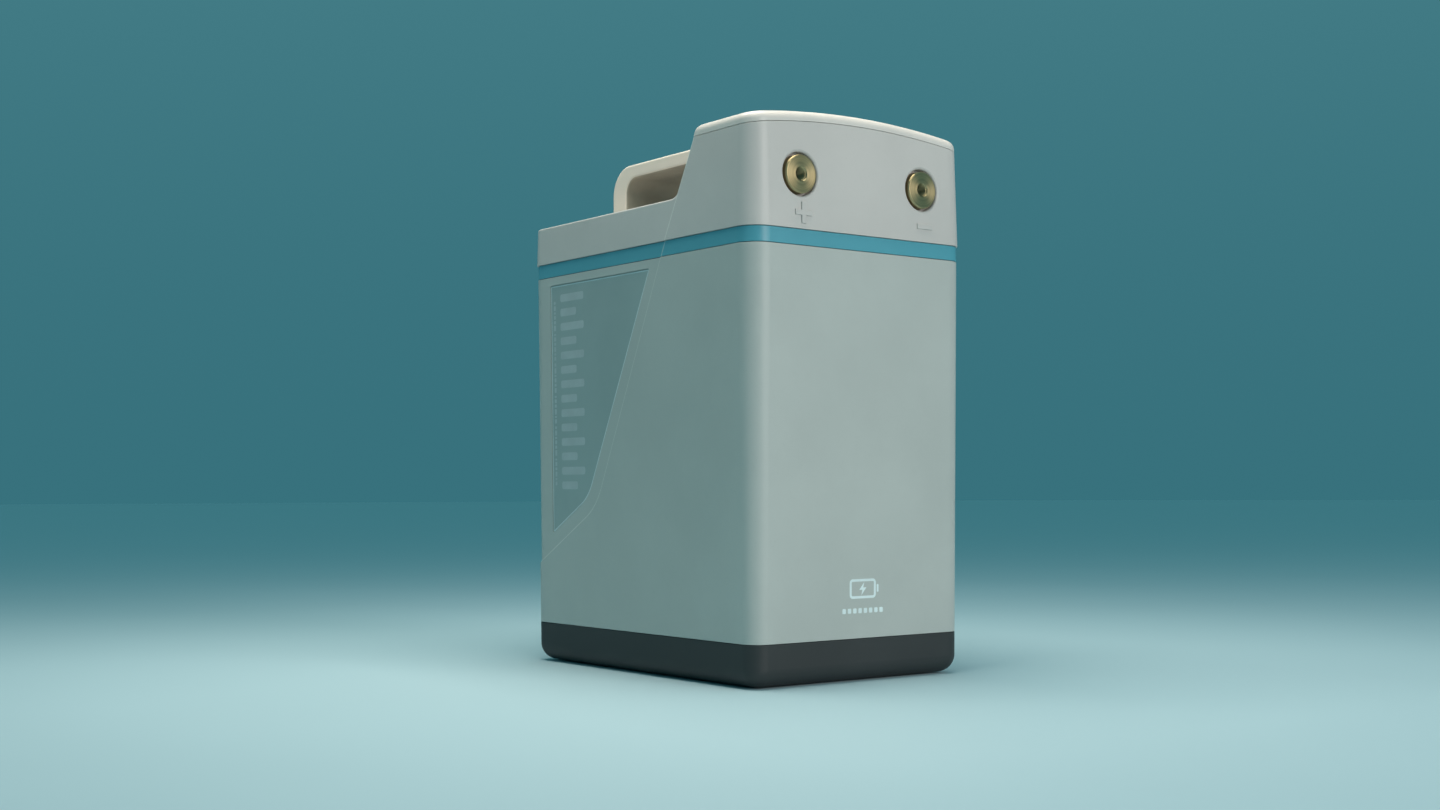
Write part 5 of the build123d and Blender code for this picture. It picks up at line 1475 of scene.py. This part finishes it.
def light_room(studio):
    """Even light from the room, in the floor's own shade at the horizon."""
    world = bpy.data.worlds.new("Studio Room")
    bpy.context.scene.world = world
    world.use_nodes = True
    tree = world.node_tree
    tree.nodes.clear()
    way = add_node(tree, "ShaderNodeTexCoord").outputs["Generated"]
    up = add_node(tree, "ShaderNodeSeparateXYZ", {0: way}).outputs["Z"]
    horizon = [
        0.75 * floor * sky / (1 - 0.25 * floor) for floor, sky in zip(studio.floor, studio.sky)
    ]
    toned = tint(tree, fade(tree, up, 0.0, 0.7), horizon, studio.sky)
    glow = add_node(tree, "ShaderNodeBackground", {"Color": toned, "Strength": studio.air})
    add_node(tree, "ShaderNodeOutputWorld", {"Surface": glow.outputs["Background"]})


def soft_panel(name, place, aim, size, power, warmth):
    """A soft panel light that the camera doesn't see."""
    lamp = bpy.data.lights.new(name, "AREA")
    lamp.shape = "RECTANGLE"
    lamp.size, lamp.size_y = size
    lamp.energy = power
    lamp.color = warmth
    panel = bpy.data.objects.new(name, lamp)
    bpy.context.scene.collection.objects.link(panel)
    panel.location = place
    panel.rotation_euler = (Vector(aim) - Vector(place)).to_track_quat("-Z", "Y").to_euler()
    panel.visible_camera = False


def stand_camera(context, studio):
    """The camera, low and to the left of the front."""
    lens = bpy.data.cameras.new("Camera")
    lens.lens = studio.lens
    lens.sensor_width = SENSOR_WIDTH
    lens.clip_start = 0.01
    camera = bpy.data.objects.new("Camera", lens)
    context.scene.collection.objects.link(camera)
    camera.location = CAMERA_PLACE
    camera.rotation_euler = (math.pi / 2 + CAMERA_UP, 0, CAMERA_LEFT)
    camera.rotation_euler.rotate_axis("Z", CAMERA_ROLL)
    context.scene.camera = camera
    context.scene.view_settings.view_transform = "Standard"


# ---- panel --------------------------------------------------------------------------------------


class BATTERYPACK_PT_sidebar(bpy.types.Panel):
    """Sizes, colours and steps of the battery pack"""

    bl_idname = "BATTERYPACK_PT_sidebar"
    bl_label = "Battery Pack"
    bl_space_type = "VIEW_3D"
    bl_region_type = "UI"
    bl_category = "Battery Pack"

    def draw(self, context):
        chosen = context.scene.battery_pack
        for group in (chosen.terminal, chosen.prints, chosen.colours, chosen.studio):
            box = self.layout.box()
            for name in group.__annotations__:
                box.prop(group, name)
        for step in STEPS:
            self.layout.operator(step.bl_idname)


STEPS = (
    BATTERYPACK_OT_set_stage,
    BATTERYPACK_OT_finish_shells,
    BATTERYPACK_OT_finish_handle,
    BATTERYPACK_OT_finish_seals,
    BATTERYPACK_OT_finish_cells,
    BATTERYPACK_OT_finish_bars,
    BATTERYPACK_OT_finish_electronics,
    BATTERYPACK_OT_finish_fixings,
    BATTERYPACK_OT_turn_terminals,
    BATTERYPACK_OT_print_sides,
    BATTERYPACK_OT_print_front,
)
CLASSES = (
    TerminalSizes,
    PrintSizes,
    PackColours,
    StudioSettings,
    PackSettings,
    *STEPS,
    BATTERYPACK_PT_sidebar,
)


def register():
    for known in CLASSES:
        bpy.utils.register_class(known)
    bpy.types.Scene.battery_pack = PointerProperty(type=PackSettings)


def unregister():
    del bpy.types.Scene.battery_pack
    for known in reversed(CLASSES):
        bpy.utils.unregister_class(known)


def main():
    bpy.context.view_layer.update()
    register()
    bpy.ops.battery_pack.set_stage()
    bpy.ops.battery_pack.finish_shells()
    bpy.ops.battery_pack.finish_handle()
    bpy.ops.battery_pack.finish_seals()
    bpy.ops.battery_pack.finish_cells()
    bpy.ops.battery_pack.finish_bars()
    bpy.ops.battery_pack.finish_electronics()
    bpy.ops.battery_pack.finish_fixings()
    bpy.ops.battery_pack.turn_terminals()
    bpy.ops.battery_pack.print_sides()
    bpy.ops.battery_pack.print_front()


if __name__ == "__main__":
    main()
